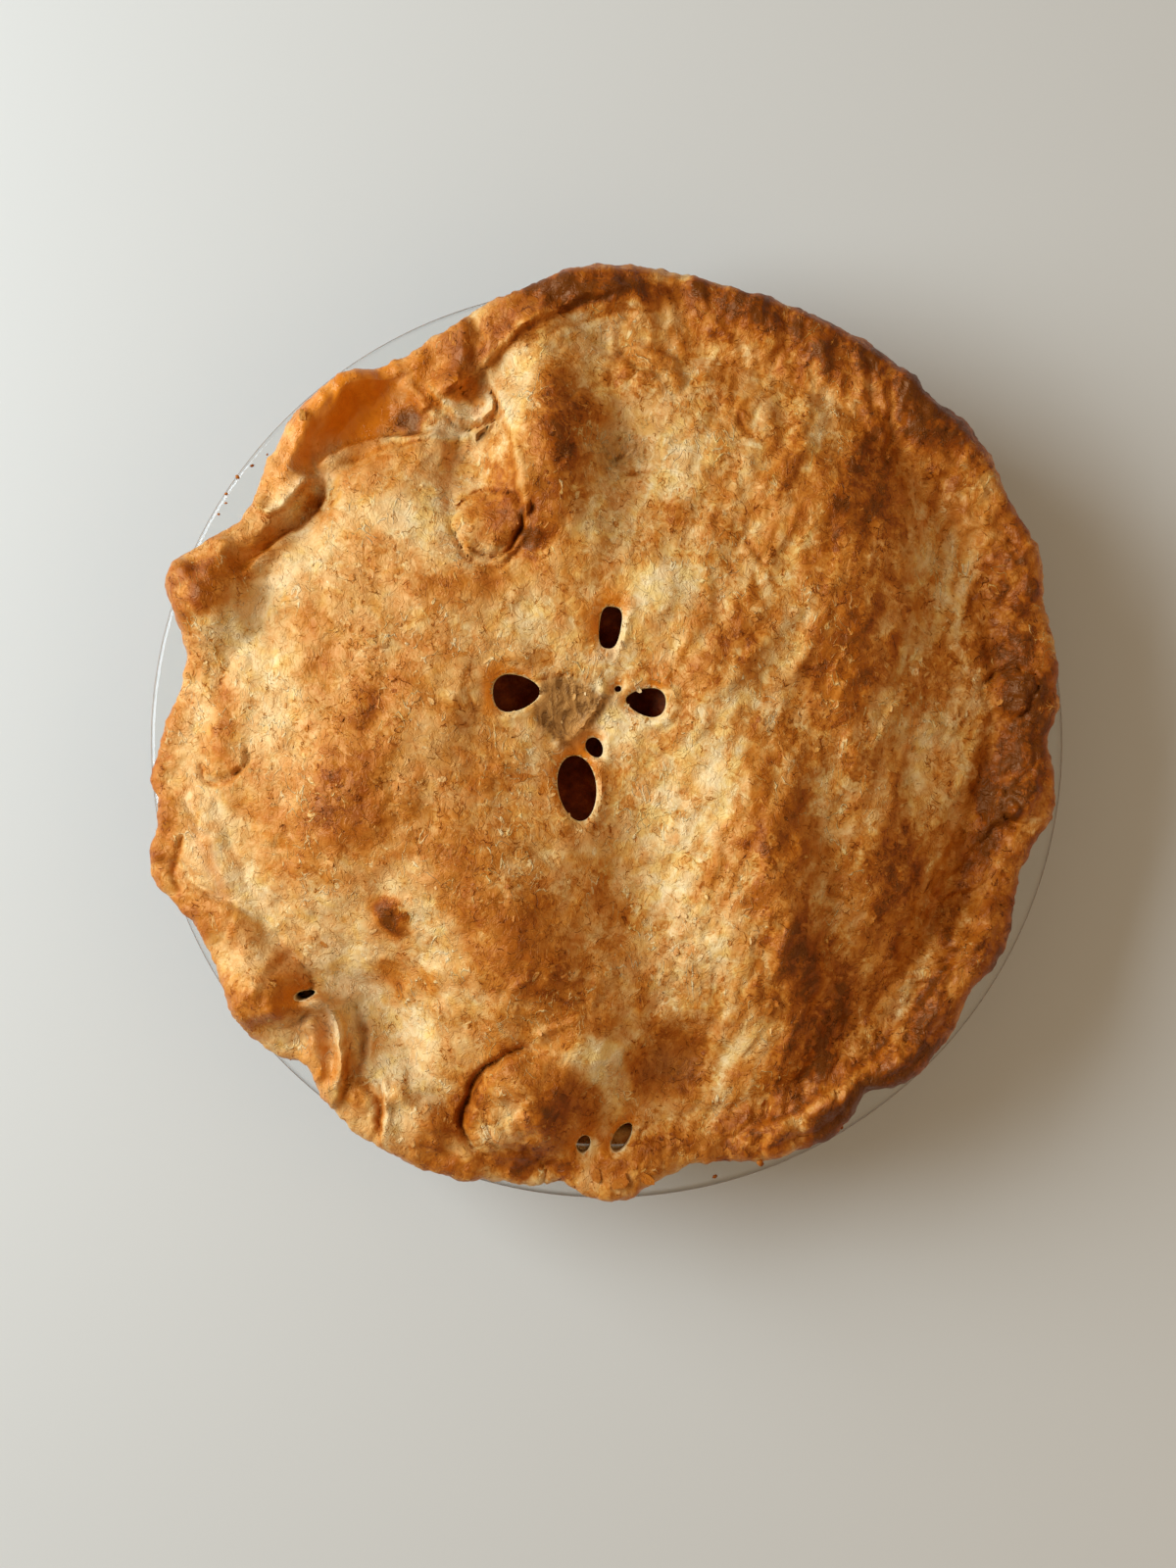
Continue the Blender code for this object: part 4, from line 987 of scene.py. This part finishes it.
def cut_openings(lid, material):
    """Cuts every opening through the lid, and leaves the finished mesh with no modifier on it."""
    blades = bpy.data.collections.new("blades")
    bpy.context.scene.collection.children.link(blades)
    for opening in OPENINGS:
        blade = opening_cutter(opening, material)
        bpy.context.scene.collection.objects.unlink(blade)
        blades.objects.link(blade)
    cut = lid.modifiers.new("openings", "BOOLEAN")
    cut.operation = "DIFFERENCE"
    cut.operand_type = "COLLECTION"
    cut.collection = blades
    cut.solver = "MANIFOLD"
    finished = bpy.data.meshes.new_from_object(lid.evaluated_get(bpy.context.evaluated_depsgraph_get()))
    lid.modifiers.clear()
    lid.data = finished
    for blade in list(blades.objects):
        bpy.data.objects.remove(blade, do_unlink=True)
    bpy.data.collections.remove(blades)


# ---------------------------------------------------------------- materials
def new_material(name):
    material = bpy.data.materials.new(name)
    material.use_nodes = True
    return material, material.node_tree, material.node_tree.nodes["Principled BSDF"]


def link(tree, source, target):
    tree.links.new(source, target)


def object_coordinates(tree, scale=(1.0, 1.0, 1.0), turn=0.0):
    coordinates = tree.nodes.new("ShaderNodeTexCoord")
    mapping = tree.nodes.new("ShaderNodeMapping")
    mapping.inputs["Scale"].default_value = scale
    mapping.inputs["Rotation"].default_value = (0.0, 0.0, math.radians(turn))
    link(tree, coordinates.outputs["Object"], mapping.inputs["Vector"])
    return mapping.outputs["Vector"]


def noise_value(tree, vector, size, detail=4.0, roughness=0.6, distortion=0.0, output="Fac"):
    """Noise around 0.5 whose largest features are about as wide as size, in metres."""
    node = tree.nodes.new("ShaderNodeTexNoise")
    node.inputs["Scale"].default_value = 1.0 / size
    node.inputs["Detail"].default_value = detail
    node.inputs["Roughness"].default_value = roughness
    node.inputs["Distortion"].default_value = distortion
    link(tree, vector, node.inputs["Vector"])
    return node.outputs[output]


def maths(tree, operation, first, second=0.0):
    node = tree.nodes.new("ShaderNodeMath")
    node.operation = operation
    for socket, value in zip(node.inputs, (first, second)):
        if isinstance(value, (int, float)):
            socket.default_value = value
        else:
            link(tree, value, socket)
    return node.outputs[0]


def times(tree, first, second):
    return maths(tree, "MULTIPLY", first, second)


def plus(tree, value, layers):
    """A value with layers added to it, each given as its own value and its amount."""
    for layer, amount in layers:
        value = maths(tree, "ADD", value, times(tree, layer, amount))
    return value


def centred(tree, value):
    return maths(tree, "SUBTRACT", value, 0.5)


def remap(tree, value, low, high, to_low=0.0, to_high=1.0):
    node = tree.nodes.new("ShaderNodeMapRange")
    node.inputs["From Min"].default_value = low
    node.inputs["From Max"].default_value = high
    node.inputs["To Min"].default_value = to_low
    node.inputs["To Max"].default_value = to_high
    link(tree, value, node.inputs["Value"])
    return node.outputs["Result"]


def attribute(tree, name):
    node = tree.nodes.new("ShaderNodeAttribute")
    node.attribute_name = name
    return node.outputs["Fac"]


def ramp(tree, value, stops):
    node = tree.nodes.new("ShaderNodeValToRGB")
    elements = node.color_ramp.elements
    while len(elements) < len(stops):
        elements.new(0.5)
    for element, (position, colour) in zip(elements, stops):
        element.position = position
        element.color = (*colour, 1.0)
    link(tree, value, node.inputs["Fac"])
    return node.outputs["Color"]


def mix_colour(tree, factor, first, second):
    node = tree.nodes.new("ShaderNodeMix")
    node.data_type = "RGBA"
    link(tree, factor, node.inputs["Factor"])
    for socket, value in ((node.inputs[6], first), (node.inputs[7], second)):
        if isinstance(value, tuple):
            socket.default_value = (*value, 1.0)
        else:
            link(tree, value, socket)
    return node.outputs[2]


def bump(tree, height, distance):
    node = tree.nodes.new("ShaderNodeBump")
    node.inputs["Distance"].default_value = distance
    node.inputs["Strength"].default_value = 1.0
    link(tree, height, node.inputs["Height"])
    return node.outputs["Normal"]


# Linear colours of the crust from raw cream to its darkest brown
BAKED = [
    (0.00, (0.800, 0.600, 0.320)),
    (0.16, (0.735, 0.478, 0.200)),
    (0.33, (0.640, 0.325, 0.096)),
    (0.50, (0.525, 0.190, 0.028)),
    (0.66, (0.400, 0.114, 0.009)),
    (0.84, (0.270, 0.060, 0.003)),
    (1.00, (0.150, 0.036, 0.002)),
]
COOKED_APPLE = [
    (0.3, (0.066, 0.0050, 0.0004)),
    (0.5, (0.150, 0.016, 0.0008)),
    (0.7, (0.290, 0.052, 0.004)),
]
SYRUP_COLOUR = (0.860, 0.270, 0.012)
DEEP_SYRUP = (0.500, 0.105, 0.003)
THIN_COLOUR = (0.520, 0.250, 0.070)
THIN_SHADE = (0.210, 0.086, 0.020)
GOLDEN = (1.00, 0.90, 0.62)
ROSY = (1.00, 0.90, 0.84)
WARM_SHEEN = (1.0, 0.72, 0.42, 1.0)


def shifted(tree, vector, reach, size):
    """Coordinates pushed about by noise, so that what is drawn on them bends and breaks up."""
    colour = noise_value(tree, vector, size, 2.0, 0.5, output="Color")
    centre = tree.nodes.new("ShaderNodeVectorMath")
    centre.operation = "SUBTRACT"
    link(tree, colour, centre.inputs[0])
    centre.inputs[1].default_value = (0.5, 0.5, 0.5)
    push = tree.nodes.new("ShaderNodeVectorMath")
    push.operation = "MULTIPLY_ADD"
    link(tree, centre.outputs[0], push.inputs[0])
    push.inputs[1].default_value = (reach, reach, reach)
    link(tree, vector, push.inputs[2])
    return push.outputs[0]


def flake_shade(tree, vector, size):
    """One random value, 0 to 1, for each of the flakes that cover the crust, about as wide as size."""
    node = tree.nodes.new("ShaderNodeTexVoronoi")
    node.voronoi_dimensions = "2D"
    node.inputs["Scale"].default_value = 1.0 / size
    link(tree, vector, node.inputs["Vector"])
    split = tree.nodes.new("ShaderNodeSeparateColor")
    link(tree, node.outputs["Color"], split.inputs["Color"])
    return split.outputs["Red"]


def off_middle(tree, value, reach, at_middle=0.0, beyond=1.0):
    """Fine wandering lines: one value where a noise crosses its middle, another from the reach on."""
    away = maths(tree, "ABSOLUTE", centred(tree, value))
    return remap(tree, away, 0.0, reach, at_middle, beyond)


def threads(tree, vector, size, thickness):
    """1 on fine wandering lines and 0 beside them."""
    return off_middle(tree, noise_value(tree, vector, size, 1.5, 0.5, 1.0), thickness, 1.0, 0.0)


def tinted(tree, factor, colour, tint):
    """A colour multiplied by a tint as far as the factor says."""
    node = tree.nodes.new("ShaderNodeMix")
    node.data_type = "RGBA"
    node.blend_type = "MULTIPLY"
    link(tree, factor, node.inputs["Factor"])
    link(tree, colour, node.inputs[6])
    node.inputs[7].default_value = (*tint, 1.0)
    return node.outputs[2]


def baked_pastry(name, mottle=1.0):
    """Pastry that browned unevenly: golden or rosy, dark on its blisters, with pale threads of dough and
    with painted shade in its fine cracks.
    """
    material, tree, shader = new_material(name)
    here = object_coordinates(tree)
    drawn_out = object_coordinates(tree, (1.0, 0.50, 1.0), -24.0)

    middling = noise_value(tree, here, 0.0034, 3.0, 0.60, 0.7)
    strand = noise_value(tree, drawn_out, 0.0026, 2.0, 0.60, 0.8)
    grain = noise_value(tree, here, 0.0009, 2.0, 0.65, 0.5)
    hue = noise_value(tree, here, 0.0056, 2.0, 0.55, 0.4)
    hue = maths(tree, "ADD", hue, attribute(tree, "gold"))
    ragged = shifted(tree, here, 0.0018, 0.0018)
    small_flakes = flake_shade(tree, ragged, 0.0012)
    large_flakes = flake_shade(tree, ragged, 0.0034)
    crowded = remap(tree, noise_value(tree, here, 0.0170, 2.0, 0.5), 0.42, 0.62)
    busy = remap(tree, noise_value(tree, here, 0.0110, 2.0, 0.6, 0.6), 0.38, 0.60, 0.45, 1.25)
    busy = times(tree, busy, maths(tree, "ADD", times(tree, attribute(tree, "gold"), 7.0), 0.86))
    folded = off_middle(tree, middling, 0.060)
    cracks = threads(tree, ragged, 0.0075, 0.010)
    cracks = times(tree, cracks, remap(tree, strand, 0.50, 0.60))
    lifted = threads(tree, drawn_out, 0.0042, 0.022)
    lifted = times(tree, lifted, remap(tree, middling, 0.44, 0.58))
    lifted = times(tree, lifted, crowded)
    scorched = times(tree, remap(tree, strand, 0.60, 0.72), remap(tree, grain, 0.50, 0.62))

    mottles = ((middling, 0.30), (strand, 0.30), (grain, 0.16), (small_flakes, 0.13))
    mottles += ((large_flakes, 0.17), (folded, -0.07))
    mottles = [(times(tree, centred(tree, value), amount * mottle), busy) for value, amount in mottles]
    # Painted shade: the fine cracks, sunk in the bump below, are also drawn darker.
    lines = ((lifted, -0.62), (scorched, 0.22), (cracks, 0.34))
    lines = [(value, amount * mottle) for value, amount in lines]
    toast_and_shade = plus(tree, attribute(tree, "toast_and_shade"), mottles + lines)
    colour = ramp(tree, toast_and_shade, BAKED)
    colour = tinted(tree, remap(tree, hue, 0.50, 0.66), colour, GOLDEN)
    colour = tinted(tree, remap(tree, hue, 0.50, 0.36), colour, ROSY)
    see_through = mix_colour(tree, remap(tree, strand, 0.40, 0.60), THIN_COLOUR, THIN_SHADE)
    colour = mix_colour(tree, attribute(tree, "thin"), colour, see_through)
    stained = mix_colour(tree, middling, SYRUP_COLOUR, DEEP_SYRUP)
    colour = mix_colour(tree, attribute(tree, "syrup"), colour, stained)
    link(tree, colour, shader.inputs["Base Color"])

    roughness = remap(tree, middling, 0.3, 0.7, 0.30, 0.54)
    gloss = ((attribute(tree, "syrup"), -0.34), (attribute(tree, "thin"), -0.10))
    link(tree, plus(tree, roughness, gloss), shader.inputs["Roughness"])
    shader.inputs["Specular IOR Level"].default_value = 0.32
    shader.inputs["Specular Tint"].default_value = WARM_SHEEN

    layered_dough = maths(tree, "ADD", times(tree, small_flakes, 0.5), large_flakes)
    relief = ((strand, 0.00034), (grain, 0.00010), (folded, 0.00010), (lifted, 0.00030))
    relief += ((scorched, -0.00016), (cracks, -0.00024), (times(tree, layered_dough, crowded), 0.00016))
    height = plus(tree, times(tree, middling, 0.00040), relief)
    smooth = remap(tree, attribute(tree, "syrup"), 0.2, 0.8, 1.0, 0.30)
    link(tree, bump(tree, times(tree, height, smooth), 1.0), shader.inputs["Normal"])
    return material


def clear_glass():
    material, _, shader = new_material("clear_glass")
    shader.inputs["Base Color"].default_value = (0.97, 0.985, 0.98, 1.0)
    shader.inputs["Roughness"].default_value = 0.0
    shader.inputs["Transmission Weight"].default_value = 1.0
    shader.inputs["IOR"].default_value = 1.47
    shader.inputs["Specular IOR Level"].default_value = 0.2
    return material


def spiced_apple():
    """Cooked apple slices, stained by cinnamon and dark syrup."""
    material, tree, shader = new_material("spiced_apple")
    here = object_coordinates(tree)
    stain = noise_value(tree, here, 0.004, 5.0, 0.65)
    link(tree, ramp(tree, stain, COOKED_APPLE), shader.inputs["Base Color"])
    shader.inputs["Roughness"].default_value = 0.35
    shader.inputs["Specular IOR Level"].default_value = 0.12
    shader.inputs["Specular Tint"].default_value = WARM_SHEEN
    link(tree, bump(tree, noise_value(tree, here, 0.0016), 0.0003), shader.inputs["Normal"])
    return material


# ---------------------------------------------------------------- turned pieces
def arc(centre, radius, start, end, steps):
    angles = [math.radians(start + (end - start) * i / steps) for i in range(steps + 1)]
    return [(centre[0] + radius * math.cos(a), centre[1] + radius * math.sin(a)) for a in angles]


def bowl_line(inset, top, steps=10):
    """The dish's inner surface moved inwards: from the floor's middle, round the heel, up to a height."""
    centre = (BASE_RADIUS, GLASS + HEEL_RADIUS)
    heel = arc(centre, HEEL_RADIUS - inset, -90, -WALL_LEAN, steps)
    radius, height = heel[-1]
    rim = (radius + (top - height) * math.tan(math.radians(WALL_LEAN)), top)
    return [(0.0, GLASS + inset)] + heel + [rim]


def dish_section():
    lean = math.radians(WALL_LEAN)
    under_flange = DISH_HEIGHT - FLANGE_THICKNESS
    outside = bowl_line(-GLASS, under_flange)
    half = FLANGE_THICKNESS / 2
    edge = arc((DISH_RADIUS - half, under_flange + half), half, -90, 90, 12)
    throat_height = DISH_HEIGHT - THROAT_RADIUS
    inside = bowl_line(0.0, throat_height + THROAT_RADIUS * math.sin(lean))
    throat_centre = (inside[-1][0] + THROAT_RADIUS * math.cos(lean), throat_height)
    throat = arc(throat_centre, THROAT_RADIUS, 90, 180 - WALL_LEAN, 8)
    return outside + edge + throat + inside[-2::-1]


def turned(section, steps):
    """A closed section from axis to axis, spun once round Z."""
    bm = bmesh.new()
    verts = [bm.verts.new((radius, 0.0, height)) for radius, height in section]
    edges = [bm.edges.new(pair) for pair in zip(verts, verts[1:])]
    round_once = {"cent": (0, 0, 0), "axis": (0, 0, 1), "angle": 2 * math.pi, "use_merge": True}
    bmesh.ops.spin(bm, geom=verts + edges, steps=steps, **round_once)
    bmesh.ops.remove_doubles(bm, verts=bm.verts, dist=0.000001)
    bmesh.ops.recalc_face_normals(bm, faces=bm.faces)
    return bm


def make_dish():
    dish = new_mesh_object("glass_pie_dish", turned(dish_section(), 240), clear_glass(), smooth=40)
    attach(dish, "root")
    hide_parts("glass_dish")
    return dish


def finer(points, longest):
    """The same line with points added where they stand further apart than the longest step."""
    line = [points[0]]
    for (r0, z0), (r1, z1) in zip(points, points[1:]):
        steps = max(1, math.ceil(math.hypot(r1 - r0, z1 - z0) / longest))
        line += [(r0 + (r1 - r0) * i / steps, z0 + (z1 - z0) * i / steps) for i in range(1, steps + 1)]
    return line


def make_case():
    """The lower sheet of pastry, pressed just into the glass so that no air shows between them."""
    outside = finer(bowl_line(-INTO_GLASS, CASE_HIGH.z - CASE_ROUNDING, 6), 0.004)
    inside = bowl_line(CASE_THICKNESS, CASE_HIGH.z - CASE_ROUNDING, 3)
    rim = [(outside[-1][0], CASE_HIGH.z), (inside[-1][0] + CASE_ROUNDING, CASE_HIGH.z)]
    bm = turned(outside + rim + inside[::-1], 180)
    x, y, z = np.array([v.co[:] for v in bm.verts]).T
    angle, radius = np.arctan2(y, x), np.hypot(x, y)
    side = 0.22 * layered(6.0 * np.cos(angle) + z * 40, 6.0 * np.sin(angle), 1.0, 4, 151)
    base = 0.22 * layered(x, y, 0.03, 4, 157)
    upwards = 0.10 * smoothstep(0.02, 0.036, z)
    paint_pastry(bm, 0.36 + np.where(radius < BASE_RADIUS, base, side) + upwards, 0.0)
    case = new_mesh_object("pastry_case_crust", bm, baked_pastry("case_pastry", 0.8))
    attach(case, "root")
    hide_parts("pastry_case")


# ---------------------------------------------------------------- filling
def filling_top(x, y):
    away = np.hypot(x - WELL_MIDDLE[0], y - WELL_MIDDLE[1]) / WELL_SPREAD
    well = WELL_DEPTH * np.exp(-(away**4))
    slices = 0.0022 * ridged(x, y, 0.012, 2, 211) * np.exp(-(away**4))
    return lid_under(x, y) - PASTRY_GAP - well - slices


def make_filling():
    bm, ring, angle = ring_grid(FILLING_RINGS)
    radius = FILLING_RADIUS * ring / FILLING_RINGS
    x, y = radius * np.cos(angle), radius * np.sin(angle)
    place(bm, x, y, filling_top(x, y))
    side = bowl_line(CASE_THICKNESS + PASTRY_GAP, CASE_HIGH.z - CASE_ROUNDING, 3)
    for wall_radius, wall_height in side[:0:-1]:
        edge = bmesh.ops.extrude_edge_only(bm, edges=boundary_edges(bm))["geom"]
        for vert in points_of(edge):
            direction = Vector((vert.co.x, vert.co.y)).normalized()
            vert.co = (direction.x * wall_radius, direction.y * wall_radius, wall_height)
    bmesh.ops.holes_fill(bm, edges=boundary_edges(bm), sides=0)
    bmesh.ops.recalc_face_normals(bm, faces=bm.faces)
    filling = new_mesh_object("apple_and_syrup", bm, spiced_apple())
    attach(filling, "root")
    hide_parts("apple_filling")


def make_lid():
    pastry = baked_pastry("baked_pastry")
    lid = new_mesh_object("pastry_lid_crust", lid_bmesh(), pastry)
    cut_openings(lid, pastry)
    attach(lid, "root")
    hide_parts("pastry_lid")
    return lid


# ---------------------------------------------------------------- loose flakes, scraps and crumbs
def height_under(x, y, pieces):
    """The highest point of what lies below a place."""
    hits = [piece.ray_cast(Vector((x, y, ABOVE_ALL)), DOWN)[:2] for piece in pieces]
    return max(location.z for found, location in hits if found)


def add_scrap(bm, place, size, stretch, thickness, lift, rng):
    """A thin ragged plate that lies level, one edge lifted a little."""
    verts = bmesh.ops.create_circle(bm, cap_ends=True, segments=CHIP_SIDES, radius=1.0)["verts"]
    for vert in verts:
        ragged = rng.uniform(0.62, 1.1)
        vert.co = (vert.co.x * size * ragged, vert.co.y * size * stretch * ragged, 0.0)
    faces = list({face for vert in verts for face in vert.link_faces})
    verts += thickened(bm, faces, thickness)
    tilt = Matrix.Rotation(lift, 3, "X")
    spin = Matrix.Rotation(rng.uniform(0.0, 2.0 * math.pi), 3, "Z")
    bmesh.ops.rotate(bm, matrix=spin @ tilt, verts=verts)
    bmesh.ops.translate(bm, vec=place, verts=verts)


def add_crumb(bm, place, size, rng):
    """A dented lump of crust that has rolled to a stop."""
    verts = bmesh.ops.create_icosphere(bm, subdivisions=2, radius=1.0)["verts"]
    shape = Vector((rng.uniform(0.8, 1.2), rng.uniform(0.6, 0.9), rng.uniform(0.45, 0.7)))
    turn = Matrix.Rotation(rng.uniform(0.0, 2.0 * math.pi), 3, "Z")
    for vert in verts:
        dents = 1.0 + 0.45 * noise.noise(vert.co * 1.6 + Vector(place) * 900.0)
        vert.co = turn @ Vector(a * b * dents * size for a, b in zip(vert.co, shape))
    low = min(vert.co.z for vert in verts)
    bmesh.ops.translate(bm, vec=Vector(place) - Vector((0.0, 0.0, low)), verts=verts)


def finish_loose(name, bm, pastry, low, high, seed, smooth):
    """Bakes loose pieces unevenly, between a low and a high shade, and makes one piece of them."""
    x, y, _ = np.array([v.co[:] for v in bm.verts]).T
    share = np.clip(0.5 + 1.4 * layered(x, y, 0.011, 1, seed), 0.0, 1.0)
    paint_pastry(bm, low + (high - low) * share, 0.0)
    bmesh.ops.recalc_face_normals(bm, faces=bm.faces)
    piece = new_mesh_object(name, bm, pastry, smooth)
    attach(piece, "root")


def copied_chips(doublings):
    """Many copies of one flat chip in one mesh, as operators make them."""
    bm = bmesh.new()
    bmesh.ops.create_circle(bm, cap_ends=True, segments=CHIP_SIDES, radius=1.0)
    thickened(bm, bm.faces[:], 1.0)
    bmesh.ops.recalc_face_normals(bm, faces=bm.faces)
    for _ in range(doublings):
        bmesh.ops.duplicate(bm, geom=bm.verts[:] + bm.edges[:] + bm.faces[:])
    return bm


def make_flakes(lid):
    """Thin flakes of dough half lifted from the crust, in crowds, drawn out the way the dough was."""
    bm = copied_chips(FLAKE_DOUBLINGS)
    shape = np.array([v.co[:] for v in bm.verts]).reshape(-1, CHIP_POINTS, 3)
    count = len(shape)
    rng = np.random.default_rng(401)
    spots = list(scattered(count, 409, 0.0005, 0.0016, 0.112, FLAKE_CROWDS))
    x, y, size, turn = (np.array(column) for column in zip(*spots))
    height, facing = np.full(count, -1.0), np.zeros((count, 3))
    for i in range(count):
        found, location, normal, _ = lid.ray_cast(Vector((x[i], y[i], ABOVE_ALL)), DOWN)
        if found:
            height[i], facing[i] = location.z, normal
    lies_flat = (height > UNDERSIDE + LID_LEAST) & (facing[:, 2] > 0.75)
    drawn = np.where(x > -0.01, STRETCHED + rng.normal(0.0, 22.0, count), turn)
    angle = np.radians(np.where(rng.uniform(0.0, 1.0, count) < 0.7, drawn, turn))
    ragged = rng.uniform(0.55, 1.10, (count, CHIP_SIDES))
    ragged = np.concatenate([ragged, ragged], axis=1)
    along = shape[:, :, 0] * ragged * size[:, None]
    across = shape[:, :, 1] * ragged * (size * rng.uniform(0.25, 0.65, count))[:, None]
    lift = rng.uniform(0.02, 0.17, count)[:, None] * across + 0.00010 * (shape[:, :, 2] - 0.35)
    east = along * np.cos(angle)[:, None] - across * np.sin(angle)[:, None]
    north = along * np.sin(angle)[:, None] + across * np.cos(angle)[:, None]
    slope = -facing[:, :2] / np.maximum(facing[:, 2:], 0.5)
    up = height[:, None] + lift + east * slope[:, :1] + north * slope[:, 1:]
    shade = browning_and_shade(x, y, np.zeros(count)) + rng.normal(0.0, 0.09, count)
    place(bm, (x[:, None] + east).ravel(), (y[:, None] + north).ravel(), up.ravel())
    soak = np.clip(covered(x, y, SYRUP), 0.0, 1.0)
    paint_pastry(bm, np.repeat(shade, CHIP_POINTS), np.repeat(soak, CHIP_POINTS))
    lost = [bm.verts[i] for i in np.nonzero(np.repeat(~lies_flat, CHIP_POINTS))[0]]
    bmesh.ops.delete(bm, geom=lost, context="VERTS")
    piece = new_mesh_object("lifted_flakes", bm, baked_pastry("flake_pastry", 0.6), smooth=30)
    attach(piece, "root")


def make_loose_pieces(lid, dish):
    """Torn scraps and crumbs, each laid on the highest thing below it."""
    pastry = baked_pastry("loose_pastry", 0.6)
    rng = np.random.default_rng(401)

    bm = bmesh.new()
    for scrap in SCRAPS:
        place = (scrap.x, scrap.y, height_under(scrap.x, scrap.y, [lid, dish]) + 0.00005)
        add_scrap(bm, place, scrap.size, 0.6, scrap.size * 0.45, 0.10, rng)
    finish_loose("torn_scraps", bm, pastry, 0.30, 0.62, 421, 30)

    bm = bmesh.new()
    for crumb in CRUMBS:
        place = (crumb.x, crumb.y, height_under(crumb.x, crumb.y, [lid, dish]))
        add_crumb(bm, place, crumb.size, rng)
    finish_loose("crumbs", bm, pastry, 0.40, 0.85, 431, 0)


# ---------------------------------------------------------------- stage, light and camera
def make_floor():
    bm = bmesh.new()
    bmesh.ops.create_grid(bm, x_segments=1, y_segments=1, size=2.0)
    material, _, shader = new_material("pale_floor")
    shader.inputs["Base Color"].default_value = (0.62, 0.62, 0.60, 1.0)
    shader.inputs["Roughness"].default_value = 0.5
    floor = new_mesh_object("floor", bm, material, smooth=0)


def area_light(name, place, target, size, power, colour):
    light = bpy.data.lights.new(name, "AREA")
    light.shape = "RECTANGLE"
    light.size, light.size_y = size
    light.energy = power
    light.color = colour
    lamp = bpy.data.objects.new(name, light)
    lamp.location = place
    lamp.rotation_euler = (Vector(target) - Vector(place)).to_track_quat("-Z", "Y").to_euler()
    bpy.context.scene.collection.objects.link(lamp)


def make_lights():
    middle = (0.0, 0.0, 0.03)
    area_light("window", (-0.88, 0.23, 0.57), middle, (0.8, 0.8), 17.7, (0.83, 0.93, 1.0))
    area_light("warm_room", (0.9, -0.4, 0.7), middle, (1.2, 1.2), 2.6, (1.0, 0.74, 0.46))
    world = bpy.data.worlds.new("soft_fill")
    world.use_nodes = True
    world.node_tree.nodes["Background"].inputs["Color"].default_value = (1.0, 0.78, 0.54, 1.0)
    world.node_tree.nodes["Background"].inputs["Strength"].default_value = 0.33
    bpy.context.scene.world = world


def make_camera():
    camera = bpy.data.cameras.new("camera")
    camera.sensor_fit = "VERTICAL"
    camera.sensor_height = 36.0
    camera.lens = 50.0
    camera.clip_start = 0.01
    holder = bpy.data.objects.new("camera", camera)
    holder.location = (-0.0050, -0.0113, 0.620)
    bpy.context.scene.collection.objects.link(holder)
    bpy.context.scene.camera = holder


pie_lid = make_lid()
pie_dish = make_dish()
make_case()
make_filling()
make_flakes(pie_lid)
make_loose_pieces(pie_lid, pie_dish)
make_floor()
make_lights()
make_camera()
bpy.context.scene.view_settings.view_transform = "Standard"
